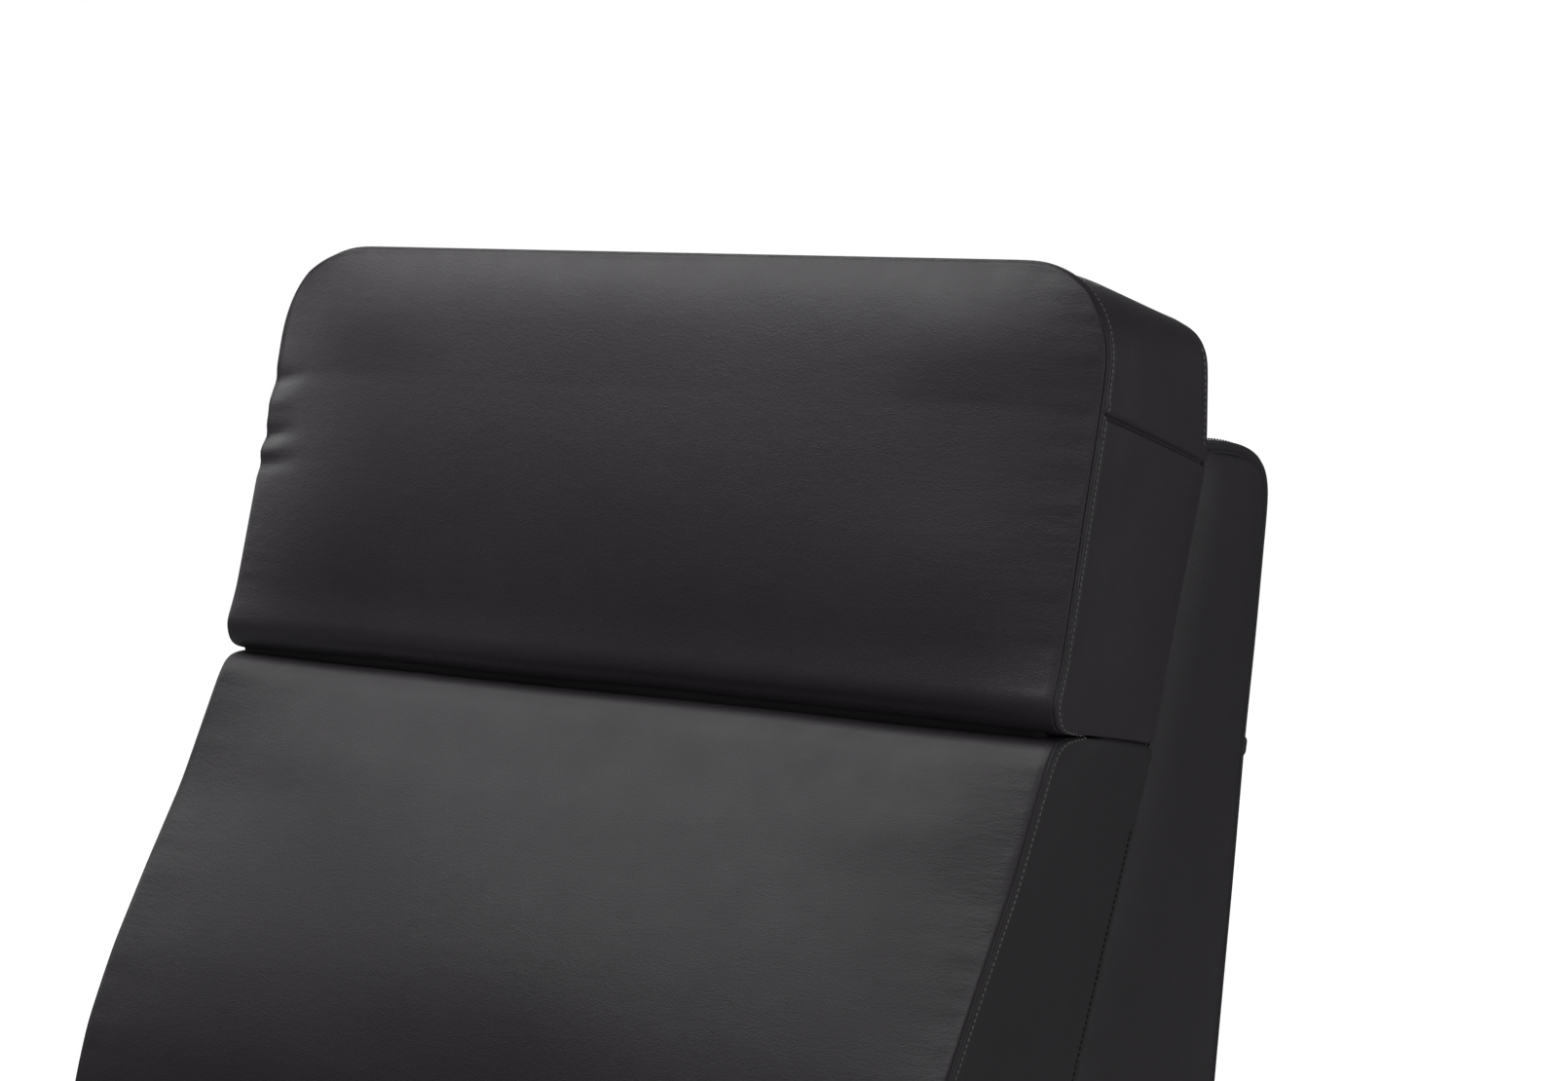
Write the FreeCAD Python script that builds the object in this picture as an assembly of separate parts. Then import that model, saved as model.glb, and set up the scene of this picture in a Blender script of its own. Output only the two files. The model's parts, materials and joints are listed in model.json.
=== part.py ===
import FreeCAD, Part
import math
import os

# Armless power recliner with a tilting headrest. Millimetres, +Z up, the sitter faces -Y and the
# sitter's left hand is at +X. The origin is on the floor under the middle of the bounding box.
# A side-view point is a pair (y, z). Bodies: the base stands still, the carriage glides on it, the back
# hangs on the carriage, the headrest on the back, and the footrest on its linkage in the carriage.

V = FreeCAD.Vector

# Base
BASE_WIDTH = 660.0
BASE_FRONT = -425.0
BASE_REAR = 430.0
SIDE_THICK = 45.0
SIDE_BOTTOM = 35.0
SIDE_TOP = 345.0
SIDE_SLOPE_FRONT = 190.0
SIDE_SLOPE_REAR = 318.0
SIDE_REAR_TOP = 262.0
SIDE_ROUND = 12.0
SIDE_SLOPE_ROUND = 60.0
FOOT_RADIUS = 25.0
FOOT_INSET = 40.0
FOOT_SIDE_INSET = 2.0
FOOT_TAPER = 4.0
FRONT_RAIL_THICK = 20.0
FRONT_RAIL_HEIGHT = 45.0
FRONT_RAIL_BOTTOM = 40.0
REAR_PANEL_THICK = 25.0
REAR_PANEL_BOTTOM = 40.0
ANGLE_LEG = 30.0
ANGLE_WALL = 3.0
ANGLE_BOTTOM = 60.0
TUBE_RADIUS = 12.5
TUBE_WALL = 2.0
FRONT_TUBE_Y = -150.0
REAR_TUBE_Y = 280.0
CONNECTOR_SPACING = 160.0
CONNECTOR_Y = -120.0
CONNECTOR_Z = 180.0
CONNECTOR_HOLE_RADIUS = 4.25
CONNECTOR_HOLE_DEPTH = 30.0

# Power socket in the rear panel
INLET_INSET = 60.0
INLET_Z = 90.0
INLET_RADIUS = 9.0
INLET_LENGTH = 18.0
COLLAR_RADIUS = 13.0
COLLAR_THICK = 2.0
CAVITY_RADIUS = 6.5
CAVITY_DEPTH = 11.0
CONTACT_RADIUS = 1.0
CONTACT_LENGTH = 10.0
CONTACT_SPREAD = 3.0

# Steel plates and pins of the mechanism
PLATE = 3.0
PLATE_GAP = 1.0
LINK_GAP = 3.0
TRACK_GAP = 2.0
TRACK_TO_SIDE = 14.0
PIN_RADIUS = 5.0
PIN_CLEARANCE = 0.05
HEAD_RADIUS = 9.0
HEAD_THICK = 2.0
HEAD_GAP = 0.4
LINK_HALF_WIDTH = 12.0
TILT_LINK_HALF_WIDTH = 10.0
SPACER_RADIUS = 8.0
THROUGH = 1.0

# Carriage and its glide
GLIDE_ANGLE = 20.0
GLIDE_TRAVEL = 80.0
ROLLER_RADIUS = 11.5
ROLLER_WIDTH = 6.0
ROLLER_CLEARANCE = 0.5
FRONT_ROLLER = (-200.0, 150.0)
REAR_ROLLER = (60.0, 150.0)
TRACK_MARGIN = 22.0
TRACK_ROUND = 15.0
ROLLER_MARGIN = 16.0
ROLLER_SIDE = 20.0
CARRIAGE_NOSE = 20.0
CARRIAGE_UNDER = 18.0
CARRIAGE_ROUND = 10.0
CARRIAGE_HOLLOW = 20.0
LEVER_ROOM = 30.0
PIVOT_BOSS = 24.0
PIVOT_BOSS_ROUND = 16.0
FLANGE_Z = 300.0
FLANGE_FRONT = -365.0
FLANGE_REAR = 60.0
SEAT_RAIL_INNER = 205.0
SEAT_RAIL_WIDTH = 25.0
SEAT_RAIL_HEIGHT = 47.0

# Recline
BACK_PIVOT = (160.0, 360.0)
RECLINE_ANGLE = 36.0
LEVER_RADIUS = 150.0
RECLINE_BAR_RADIUS = 10.0
LEVER_WALL = 5.0
BRACKET_HALF_WIDTH = 20.0
BRACKET_REACH = 46.0
BRACKET_RISE = 60.0
BRACKET_FOOT = 90.0
BRACKET_ROUND = 8.0
BRACKET_MARGIN = 5.0

# Footrest linkage: two equal parallel links, a bent coupler, and a crank on the rear link that turns
# the footrest through a second parallelogram
FRONT_PIVOT = (-379.0, 279.5)
LINK_SPACING = 90.0
LINK_LENGTH = 175.0
LINK_REST_ANGLE = -65.0
LINK_SWING = 90.0
COUPLER_REACH = (-110.0, 151.0)
TILT_CRANK = 45.0
CRANK_RADIUS = 55.0
CRANK_X = 60.0
CRANK_THICK = 8.0
EAR_OFFSET = 13.0
EAR_THICK = 6.0
EAR_HALF = 17.0
SLOT_PLAY = 2.4
SLIDER_HALF = 20.0
SLIDER_WALL = 9.0
SLIDER_UNDER = 8.0
GUIDE_LOW = 176.0
GUIDE_HIGH = 194.0
GUIDE_HALF_WIDTH = 11.0
FOOT_BRACKET_DROP = 60.0
FOOT_BRACKET_TOE = 10.0
FOOT_BRACKET_FLANGE = 27.0

# Seat and footrest cushions
SEAT_WIDTH = 640.0
SEAT_FRONT = -482.0
SEAT_REAR = 62.0
SEAT_TOP = 488.0
SEAT_NOSE_BOTTOM = 380.0
SEAT_CORNER = 34.0
SEAT_CROWN = 12.0
SEAT_NOSE_SHARE = 0.45
SEAT_NOSE_BULGE = 24.0
SEAT_NOSE_INSET = 8.0
SEAT_REAR_DROP = 2.0
LEAST_BULGE = 2.0
FOOTREST_WIDTH = 640.0
FOOTREST_TOP = 372.0
FOOTREST_BOTTOM = 72.0
FOOTREST_REAR = -432.0
FOOTREST_BOARD = 15.0
FOOTREST_EDGE = 10.0
FOOTREST_PAD = 23.0
FOOTREST_CROWN = 12.0
FOOTREST_CORNER = 26.0

# Springs and webbing
SPRING_COUNT = 5
SPRING_WIRE = 1.9
SPRING_PITCH = 30.0
SPRING_REACH = 22.0
SPRING_LEAD = 22.5
SPRING_DROP = 4.0
WEBBING_COUNT = 4
WEBBING_HEIGHT = 50.0
WEBBING_THICK = 2.0

# Back: side-view corners of its two cushions and of the wedge behind them
BACK_WIDTH = 620.0
HEAD_TOP_FRONT = (300.0, 1034.0)
HEAD_TOP_REAR = (405.0, 996.0)
HEAD_BOTTOM_FRONT = (226.0, 784.0)
WEDGE_TOP_FRONT = (404.0, 920.0)
WEDGE_KNEE = (341.0, 755.0)
WEDGE_BOTTOM_FRONT = (184.0, 405.0)
LUMBAR_TOP_FRONT = (224.0, 769.0)
LUMBAR_BOTTOM_FRONT = (82.0, 406.0)
LUMBAR_SAG = 27.0
CUSHION_CROWN = 22.0
CUSHION_TOP_CROWN = 6.0
CUSHION_CORNER = 34.0
CUSHION_GAP = 1.0
EDGE_INSET = 4.0
WEDGE_REAR_TOP = (488.0, 918.0)
REAR_LEAN = 8.6
REAR_ROUND = 38.0
WING_THICK = 24.0
POST_THICK = 20.0
REAR_PANEL = 12.0
REAR_INSET = 14.0
SKIRT_WIDTH = 500.0
SKIRT_BOTTOM = 300.0
SKIRT_RETURN = 165.0
SKIRT_SLOPE = 20.0
RAIL_THICK = 18.0
TOP_RAIL_HEIGHT = 46.0
MIDDLE_RAIL_LOW = 676.0
MIDDLE_RAIL_HIGH = 736.0
BOTTOM_RAIL_LOW = 412.0
BOTTOM_RAIL_HIGH = 492.0
FLAP_Z = 742.0
FLAP_HEIGHT = 10.0
FLAP_PROUD = 4.0
FLAP_EDGE = 2.0
WEBBING_COVER = 0.7
WEBBING_GAP = 8.0

# Headrest hinge and drive
HEAD_AXIS = (245.0, 778.0)
HEAD_TILT = 25.0
HINGE_X = 200.0
HINGE_PLATE = 4.0
HINGE_HALF_WIDTH = 8.0
POCKET_CLEARANCE = 2.5
ARM_CLEARANCE = 0.5
ARM_BEND = (22.0, 24.0)
LEAF_BEND = (16.0, -30.0)
HEAD_BOARD = 12.0
HEAD_BOARD_WIDTH = 540.0
LUG_RADIUS = 140.0
LUG_THICK = 20.0
LUG_SIZE = 13.0
SLOT_CLEARANCE = 0.6
CHEEK_THICK = 6.0
CHEEK_GAP = 1.0
CHEEK_HALF_WIDTH = 10.0
BRIDGE_NEAR = 18.0
BRIDGE_FAR = 30.0
BRIDGE_HALF = 12.0
HEAD_ROD_TAIL = 130.0
HEAD_TUBE_TOP = 44.0
HEAD_BAR_RADIUS = 10.5
HEAD_TUBE_SPARE = 50.0
BORE_SPARE = 4.0
HEAD_ROD_RADIUS = 8.0
HEAD_MOTOR_RADIUS = 20.0

# Seat drives
DRIVE_TUBE = (-180.0, 217.0)
GEARBOX_WIDTH = 50.0
GEARBOX_LENGTH = 50.0
MOTOR_RADIUS = 22.0
MOTOR_BOTTOM = 105.0
GEARBOX_ROUND = 6.0
GEARBOX_OVER = 25.0
GEARBOX_UNDER = 30.0
RECLINE_X = -60.0
RECLINE_ROD_RADIUS = 9.0
BORE_CLEARANCE = 0.5
ROD_TUBE_RADIUS = 15.0
EYE_WALL = 6.0
EYE_HALF_WIDTH = 10.0
EYE_END = 2.0
EYE_PLAY = 1.2
ROD_SPARE = 8.0

# Controls on the right side panel
PANEL_Y = -190.0
PANEL_Z = 290.0
PANEL_LENGTH = 120.0
PANEL_HEIGHT = 50.0
PANEL_DEPTH = 12.0
ROCKER_WIDTH = 22.0
ROCKER_HEIGHT = 30.0
ROCKER_PITCH = 34.0
ROCKER_GAP = 1.5
ROCKER_PIN_RADIUS = 1.5
ROCKER_PIN_SEAT = 1.5
ROCKER_PIN_DEPTH = 4.5
ROCKER_TIP = 1.2
ROCKER_DISH = 2.6
ROCKER_SHOULDER = 5.0
ROCKER_BACK = 7.0
PANEL_FLOOR = 2.0

# Planes across the width, worked out from the outside inward
SIDE_INNER = BASE_WIDTH / 2 - SIDE_THICK
TRACK_X = (SIDE_INNER - TRACK_TO_SIDE - PLATE, SIDE_INNER - TRACK_TO_SIDE)
BRACKET_X = (TRACK_X[0] - TRACK_GAP - PLATE, TRACK_X[0] - TRACK_GAP)
CARRIAGE_X = (BRACKET_X[0] - PLATE_GAP - PLATE, BRACKET_X[0] - PLATE_GAP)
LINK_X = (CARRIAGE_X[0] - LINK_GAP - PLATE, CARRIAGE_X[0] - LINK_GAP)
COUPLER_X = (LINK_X[0] - LINK_GAP - PLATE, LINK_X[0] - LINK_GAP)
POST_X = (BRACKET_X[1], BRACKET_X[1] + POST_THICK)
WING_X = (POST_X[1], POST_X[1] + WING_THICK)
SEAT_RAIL_TOP = FLANGE_Z + PLATE + SEAT_RAIL_HEIGHT
BASE_TUBE_Z = ANGLE_BOTTOM + ANGLE_WALL + TUBE_RADIUS


def polar(centre, radius, degrees):
    """Side-view point at an angle counted from +Y towards +Z."""
    angle = math.radians(degrees)
    return (centre[0] + radius * math.cos(angle), centre[1] + radius * math.sin(angle))


def plus(a, b):
    return (a[0] + b[0], a[1] + b[1])


def minus(a, b):
    return (a[0] - b[0], a[1] - b[1])


def mix(a, b, share):
    return (a[0] + (b[0] - a[0]) * share, a[1] + (b[1] - a[1]) * share)


def unit(a):
    length = math.hypot(a[0], a[1])
    return (a[0] / length, a[1] / length)


def box(x0, x1, y0, y1, z0, z1):
    return Part.makeBox(x1 - x0, y1 - y0, z1 - z0, V(x0, y0, z0))


def rod_x(centre, radius, x0, x1):
    return Part.makeCylinder(radius, x1 - x0, V(x0, centre[0], centre[1]), V(1, 0, 0))


def rod_between(start, end, radius, x):
    """Cylinder in the side view plane at x, from one (y, z) point to another."""
    step = minus(end, start)
    length = math.hypot(step[0], step[1])
    return Part.makeCylinder(radius, length, V(x, start[0], start[1]), V(0, step[0], step[1]))


def outline(corners):
    """Closed wire in the side view; a corner is (y, z) or (y, z, radius of its round)."""
    count = len(corners)
    legs = []
    for index in range(count):
        here = corners[index]
        radius = here[2] if len(here) > 2 else 0.0
        point = (here[0], here[1])
        to_last = unit(minus(corners[index - 1], point))
        to_next = unit(minus(corners[(index + 1) % count], point))
        if radius == 0.0:
            legs.append((point, point, point))
            continue
        half = math.acos(max(-1.0, min(1.0, to_last[0] * to_next[0] + to_last[1] * to_next[1]))) / 2
        reach = radius / math.tan(half)
        middle_way = unit(plus(to_last, to_next))
        centre_distance = radius / math.sin(half)
        start = (point[0] + to_last[0] * reach, point[1] + to_last[1] * reach)
        end = (point[0] + to_next[0] * reach, point[1] + to_next[1] * reach)
        near = centre_distance - radius
        middle = (point[0] + middle_way[0] * near, point[1] + middle_way[1] * near)
        legs.append((start, middle, end))
    edges = []
    for index in range(count):
        start, middle, end = legs[index]
        if start != end:
            edges.append(Part.Arc(V(0, *start), V(0, *middle), V(0, *end)).toShape())
        following = legs[(index + 1) % count][0]
        edges.append(Part.LineSegment(V(0, *end), V(0, *following)).toShape())
    return Part.Wire(edges)


def prism(corners, x0, x1):
    """Solid of a side-view outline between two planes across the width."""
    face = Part.Face(outline(corners))
    face.translate(V(x0, 0, 0))
    return face.extrude(V(x1 - x0, 0, 0))


def capsule(a, b, half_width, x0, x1):
    """Flat bar with round ends between two side-view points."""
    along = unit(minus(b, a))
    across = (-along[1] * half_width, along[0] * half_width)
    bar = prism([plus(a, across), minus(a, across), minus(b, across), plus(b, across)], x0, x1)
    return bar.fuse([rod_x(a, half_width, x0, x1), rod_x(b, half_width, x0, x1)]).removeSplitter()


def mirrored(shape):
    return shape.mirror(V(0, 0, 0), V(1, 0, 0))


def both_sides(shape):
    return Part.makeCompound([shape, mirrored(shape)])


def hole(centre, radius, x_range):
    """Cutter for a pin's hole through one plate."""
    return rod_x(centre, radius, x_range[0] - THROUGH, x_range[1] + THROUGH)


def rear_line(z):
    """Y of the wedge's rear face at a height."""
    return WEDGE_REAR_TOP[0] - (WEDGE_REAR_TOP[1] - z) * math.tan(math.radians(REAR_LEAN))


def wedge_front(z):
    """Y of the wedge's front face at a height."""
    if z > WEDGE_KNEE[1]:
        share = (z - WEDGE_KNEE[1]) / (WEDGE_TOP_FRONT[1] - WEDGE_KNEE[1])
        return WEDGE_KNEE[0] + share * (WEDGE_TOP_FRONT[0] - WEDGE_KNEE[0])
    share = (z - WEDGE_BOTTOM_FRONT[1]) / (WEDGE_KNEE[1] - WEDGE_BOTTOM_FRONT[1])
    return WEDGE_BOTTOM_FRONT[0] + share * (WEDGE_KNEE[0] - WEDGE_BOTTOM_FRONT[0])


def export(name, shape):
    if shape.isNull() or not shape.isValid():
        print("not valid:", name)
    shape.exportStep("parts/" + name + ".step")


def export_sides(name, shape):
    """The +X piece is the sitter's left one."""
    export(name + "_left", shape)
    export(name + "_right", mirrored(shape))


# Crowned cushions: side-view sections lofted across the width. Near the ends the section drops along a
# quarter circle, which rounds the corners, and draws in; the crown grows from the seams to the middle.

def stations(half_width, corner):
    """(x, drop, crown share) from one end of a cushion to the other."""
    half = []
    for degrees in (0, 30, 60, 90):
        angle = math.radians(degrees)
        half.append((half_width - corner * (1 - math.cos(angle)), corner * (1 - math.sin(angle))))
    half.append((half_width * 0.6, 0.0))
    half.append((half_width * 0.3, 0.0))
    full = [(-x, drop) for x, drop in half] + [(0.0, 0.0)] + [(x, drop) for x, drop in reversed(half)]
    full.sort()
    return [(x, drop, math.sqrt(max(0.0, 1 - abs(x / half_width) ** 4))) for x, drop in full]


def bulged(a, b, bulge):
    """Arc from a to b whose middle stands off the chord, to the left of the way from a to b."""
    along = unit(minus(b, a))
    middle = mix(a, b, 0.5)
    peak = (middle[0] - along[1] * bulge, middle[1] + along[0] * bulge)
    return Part.Arc(V(0, *a), V(0, *peak), V(0, *b)).toShape()


def straight(a, b):
    return Part.LineSegment(V(0, *a), V(0, *b)).toShape()


def lofted(half_width, corner, section):
    wires = []
    for x, drop, crown in stations(half_width, corner):
        wire = Part.Wire(section(drop, crown))
        wire.translate(V(x, 0, 0))
        wires.append(wire)
    return Part.makeLoft(wires, True, False, False, 3)


def along_edge(start, end, distance):
    way = unit(minus(end, start))
    return (start[0] + way[0] * distance, start[1] + way[1] * distance)


def headrest_section(drop, crown):
    inset = EDGE_INSET * drop / CUSHION_CORNER
    rise = CUSHION_TOP_CROWN * crown
    front_top = along_edge(HEAD_TOP_FRONT, HEAD_BOTTOM_FRONT, drop)
    rear_top = (HEAD_TOP_REAR[0] - inset, HEAD_TOP_REAR[1] - drop)
    front_top = (front_top[0] + inset, front_top[1] + rise * 0.5)
    rear_top = (rear_top[0], rear_top[1] + rise)
    front_bottom = (HEAD_BOTTOM_FRONT[0] + inset, HEAD_BOTTOM_FRONT[1])
    shift = (-CUSHION_GAP, CUSHION_GAP)
    rear_middle = plus(WEDGE_TOP_FRONT, shift)
    rear_bottom = plus(WEDGE_KNEE, shift)
    return [bulged(front_top, front_bottom, -CUSHION_CROWN * crown - LEAST_BULGE),
            straight(front_bottom, rear_bottom),
            straight(rear_bottom, rear_middle),
            straight(rear_middle, rear_top),
            bulged(rear_top, front_top, -LEAST_BULGE - CUSHION_TOP_CROWN * crown)]


def lumbar_section(drop, crown):
    inset = EDGE_INSET * drop / CUSHION_CORNER
    front_top = along_edge(LUMBAR_TOP_FRONT, LUMBAR_BOTTOM_FRONT, drop * 0.7)
    front_top = (front_top[0] + inset, front_top[1])
    front_bottom = (LUMBAR_BOTTOM_FRONT[0] + inset, LUMBAR_BOTTOM_FRONT[1])
    rear_bottom = (wedge_front(LUMBAR_BOTTOM_FRONT[1]), LUMBAR_BOTTOM_FRONT[1])
    rear_top = (wedge_front(WEDGE_KNEE[1] - CUSHION_GAP), WEDGE_KNEE[1] - CUSHION_GAP)
    return [bulged(front_top, front_bottom, -LUMBAR_SAG - CUSHION_CROWN * crown),
            straight(front_bottom, rear_bottom),
            straight(rear_bottom, rear_top),
            straight(rear_top, front_top)]


def seat_section(drop, crown):
    inset = EDGE_INSET * drop / SEAT_CORNER
    top = SEAT_TOP - drop
    front = SEAT_FRONT + inset
    rear_top = (SEAT_REAR, top - SEAT_REAR_DROP)
    nose_top = (front + (SEAT_TOP - SEAT_NOSE_BOTTOM) * SEAT_NOSE_SHARE, top)
    nose_bottom = (front + SEAT_NOSE_INSET, SEAT_NOSE_BOTTOM)
    return [bulged(nose_top, nose_bottom, -SEAT_NOSE_BULGE),
            straight(nose_bottom, (FOOTREST_REAR, SEAT_NOSE_BOTTOM)),
            straight((FOOTREST_REAR, SEAT_NOSE_BOTTOM), (FOOTREST_REAR, SEAT_RAIL_TOP)),
            straight((FOOTREST_REAR, SEAT_RAIL_TOP), (SEAT_REAR, SEAT_RAIL_TOP)),
            straight((SEAT_REAR, SEAT_RAIL_TOP), rear_top),
            bulged(rear_top, nose_top, -LEAST_BULGE - SEAT_CROWN * crown)]


def footrest_section(drop, crown):
    back = FOOTREST_REAR - FOOTREST_BOARD
    front = back - FOOTREST_PAD
    top = (front, FOOTREST_TOP - drop * 0.6)
    bottom = (front, FOOTREST_BOTTOM + drop * 0.6)
    top_back = (back, top[1])
    bottom_back = (back, bottom[1])
    return [bulged(top, bottom, -LEAST_BULGE - (FOOTREST_CROWN - LEAST_BULGE) * crown),
            straight(bottom, bottom_back),
            straight(bottom_back, top_back),
            straight(top_back, top)]


# Base

def side_panel():
    x0, x1 = SIDE_INNER, BASE_WIDTH / 2
    corners = [(BASE_FRONT, SIDE_BOTTOM, SIDE_ROUND), (BASE_REAR, SIDE_BOTTOM, SIDE_ROUND),
               (BASE_REAR, SIDE_REAR_TOP, SIDE_ROUND), (SIDE_SLOPE_REAR, SIDE_REAR_TOP, SIDE_SLOPE_ROUND),
               (SIDE_SLOPE_FRONT, SIDE_TOP, SIDE_SLOPE_ROUND), (BASE_FRONT, SIDE_TOP, SIDE_ROUND)]
    panel = prism(corners, x0, x1)
    holes = []
    for side in (-0.5, 0.5):
        centre = (CONNECTOR_Y + side * CONNECTOR_SPACING, CONNECTOR_Z)
        holes.append(rod_x(centre, CONNECTOR_HOLE_RADIUS, x1 - CONNECTOR_HOLE_DEPTH, x1 + 1))
    return panel.cut(holes)


def panel_block(outward, depth):
    """Block of the control panel's size at the right side's face."""
    half = BASE_WIDTH / 2
    return box(-half - outward, -half + depth, PANEL_Y - PANEL_LENGTH / 2, PANEL_Y + PANEL_LENGTH / 2,
               PANEL_Z - PANEL_HEIGHT / 2, PANEL_Z + PANEL_HEIGHT / 2)


def control_panel():
    """Plate with a window for each rocker and the seats of the rockers' pins."""
    half = BASE_WIDTH / 2
    wide = ROCKER_WIDTH / 2 + ROCKER_GAP
    tall = ROCKER_HEIGHT / 2 + ROCKER_GAP
    reach = wide + ROCKER_PIN_SEAT + ROCKER_GAP / 10
    windows = []
    for index in (-1, 0, 1):
        y = PANEL_Y + index * ROCKER_PITCH
        windows.append(box(-half - THROUGH, -half + PANEL_DEPTH - PANEL_FLOOR, y - wide, y + wide,
                           PANEL_Z - tall, PANEL_Z + tall))
        windows.append(Part.makeCylinder(ROCKER_PIN_RADIUS + PIN_CLEARANCE, 2 * reach,
                                         V(-half + ROCKER_PIN_DEPTH, y - reach, PANEL_Z), V(0, 1, 0)))
    return panel_block(0, PANEL_DEPTH).cut(windows)


def rocker(index):
    """Switch with a dished face, and the pin that it tips on."""
    half = BASE_WIDTH / 2
    y = PANEL_Y + index * ROCKER_PITCH
    tall = ROCKER_HEIGHT / 2
    profile = [(ROCKER_TIP, tall), (ROCKER_DISH, 0), (ROCKER_TIP, -tall), (ROCKER_SHOULDER, -tall + THROUGH),
               (ROCKER_BACK, 0), (ROCKER_SHOULDER, tall - THROUGH)]
    points = [V(x - half, y - ROCKER_WIDTH / 2, PANEL_Z + z) for x, z in profile]
    face = Part.Face(Part.makePolygon(points + [points[0]]))
    body = face.extrude(V(0, ROCKER_WIDTH, 0))
    reach = ROCKER_WIDTH / 2 + ROCKER_GAP + ROCKER_PIN_SEAT
    pin = Part.makeCylinder(ROCKER_PIN_RADIUS, 2 * reach,
                            V(-half + ROCKER_PIN_DEPTH, y - reach, PANEL_Z), V(0, 1, 0))
    return body.fuse(pin).removeSplitter()


def front_base_rail():
    return box(-SIDE_INNER, SIDE_INNER, BASE_FRONT, BASE_FRONT + FRONT_RAIL_THICK,
               FRONT_RAIL_BOTTOM, FRONT_RAIL_BOTTOM + FRONT_RAIL_HEIGHT)


def rod_y(x, z, radius, y0, y1):
    return Part.makeCylinder(radius, y1 - y0, V(x, y0, z), V(0, 1, 0))


def power_inlet():
    """Round low-voltage socket with two contact pins, set in the rear panel."""
    x = SIDE_INNER - INLET_INSET
    barrel = rod_y(x, INLET_Z, INLET_RADIUS, BASE_REAR - INLET_LENGTH, BASE_REAR)
    collar = rod_y(x, INLET_Z, COLLAR_RADIUS, BASE_REAR, BASE_REAR + COLLAR_THICK)
    floor = BASE_REAR - CAVITY_DEPTH
    cavity = rod_y(x, INLET_Z, CAVITY_RADIUS, floor, BASE_REAR + COLLAR_THICK + THROUGH)
    socket = barrel.fuse(collar).cut(cavity)
    pins = [rod_y(x + side * CONTACT_SPREAD, INLET_Z, CONTACT_RADIUS, floor - CONTACT_RADIUS / 2,
                  floor + CONTACT_LENGTH - CONTACT_RADIUS / 2) for side in (-1, 1)]
    return socket.fuse(pins).removeSplitter()


def rear_base_panel():
    front = BASE_REAR - REAR_PANEL_THICK
    panel = box(-SIDE_INNER, SIDE_INNER, front, BASE_REAR, REAR_PANEL_BOTTOM, SIDE_REAR_TOP)
    bore = rod_y(SIDE_INNER - INLET_INSET, INLET_Z, INLET_RADIUS, front - THROUGH, BASE_REAR + THROUGH)
    return panel.cut(bore)


def base_rail():
    front = BASE_FRONT + FRONT_RAIL_THICK
    rear = BASE_REAR - REAR_PANEL_THICK
    flat = box(SIDE_INNER - ANGLE_LEG, SIDE_INNER, front, rear, ANGLE_BOTTOM, ANGLE_BOTTOM + ANGLE_WALL)
    upright = box(SIDE_INNER - ANGLE_WALL, SIDE_INNER, front, rear, ANGLE_BOTTOM, ANGLE_BOTTOM + ANGLE_LEG)
    return flat.fuse(upright).removeSplitter()


def glide_way(distance):
    return (-distance * math.cos(math.radians(GLIDE_ANGLE)), distance * math.sin(math.radians(GLIDE_ANGLE)))


def glide_track():
    """Upright plate on the base rail with one inclined slot for each roller."""
    low = ANGLE_BOTTOM + ANGLE_WALL
    shift = glide_way(GLIDE_TRAVEL)
    top = FRONT_ROLLER[1] + shift[1] + ROLLER_RADIUS + TRACK_MARGIN
    front = FRONT_ROLLER[0] + shift[0] - ROLLER_RADIUS - TRACK_MARGIN
    rear = REAR_ROLLER[0] + ROLLER_RADIUS + TRACK_MARGIN
    plate = prism([(front, low), (rear, low), (rear, top, TRACK_ROUND), (front, top, TRACK_ROUND)], *TRACK_X)
    slots = []
    for roller in (FRONT_ROLLER, REAR_ROLLER):
        slots.append(capsule(roller, plus(roller, shift), ROLLER_RADIUS + ROLLER_CLEARANCE,
                             TRACK_X[0] - THROUGH, TRACK_X[1] + THROUGH))
    slots.append(capsule((FRONT_TUBE_Y, BASE_TUBE_Z), (FRONT_TUBE_Y, low - TUBE_RADIUS), TUBE_RADIUS,
                         TRACK_X[0] - THROUGH, TRACK_X[1] + THROUGH))
    return plate.cut(slots)


def cross_tube(centre, reach, radius=TUBE_RADIUS):
    outer = rod_x(centre, radius, -reach, reach)
    return outer.cut(rod_x(centre, radius - TUBE_WALL, -reach - THROUGH, reach + THROUGH))


def base_feet():
    x = BASE_WIDTH / 2 - FOOT_RADIUS - FOOT_SIDE_INSET
    feet = []
    for side in (-1, 1):
        for y in (BASE_FRONT + FOOT_INSET, BASE_REAR - FOOT_INSET):
            feet.append(Part.makeCone(FOOT_RADIUS - FOOT_TAPER, FOOT_RADIUS, SIDE_BOTTOM,
                                      V(side * x, y, 0), V(0, 0, 1)))
    return Part.makeCompound(feet)


# Carriage

REAR_PIVOT = plus(FRONT_PIVOT, (LINK_SPACING, 0))
LINK_WAY = polar((0, 0), LINK_LENGTH, LINK_REST_ANGLE)
FRONT_LINK_END = plus(FRONT_PIVOT, LINK_WAY)
REAR_LINK_END = plus(REAR_PIVOT, LINK_WAY)
FOOTREST_PIVOT = plus(FRONT_LINK_END, COUPLER_REACH)
CRANK_END = plus(REAR_LINK_END, (0, TILT_CRANK))
TILT_PIVOT = plus(FOOTREST_PIVOT, (0, TILT_CRANK))


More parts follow.
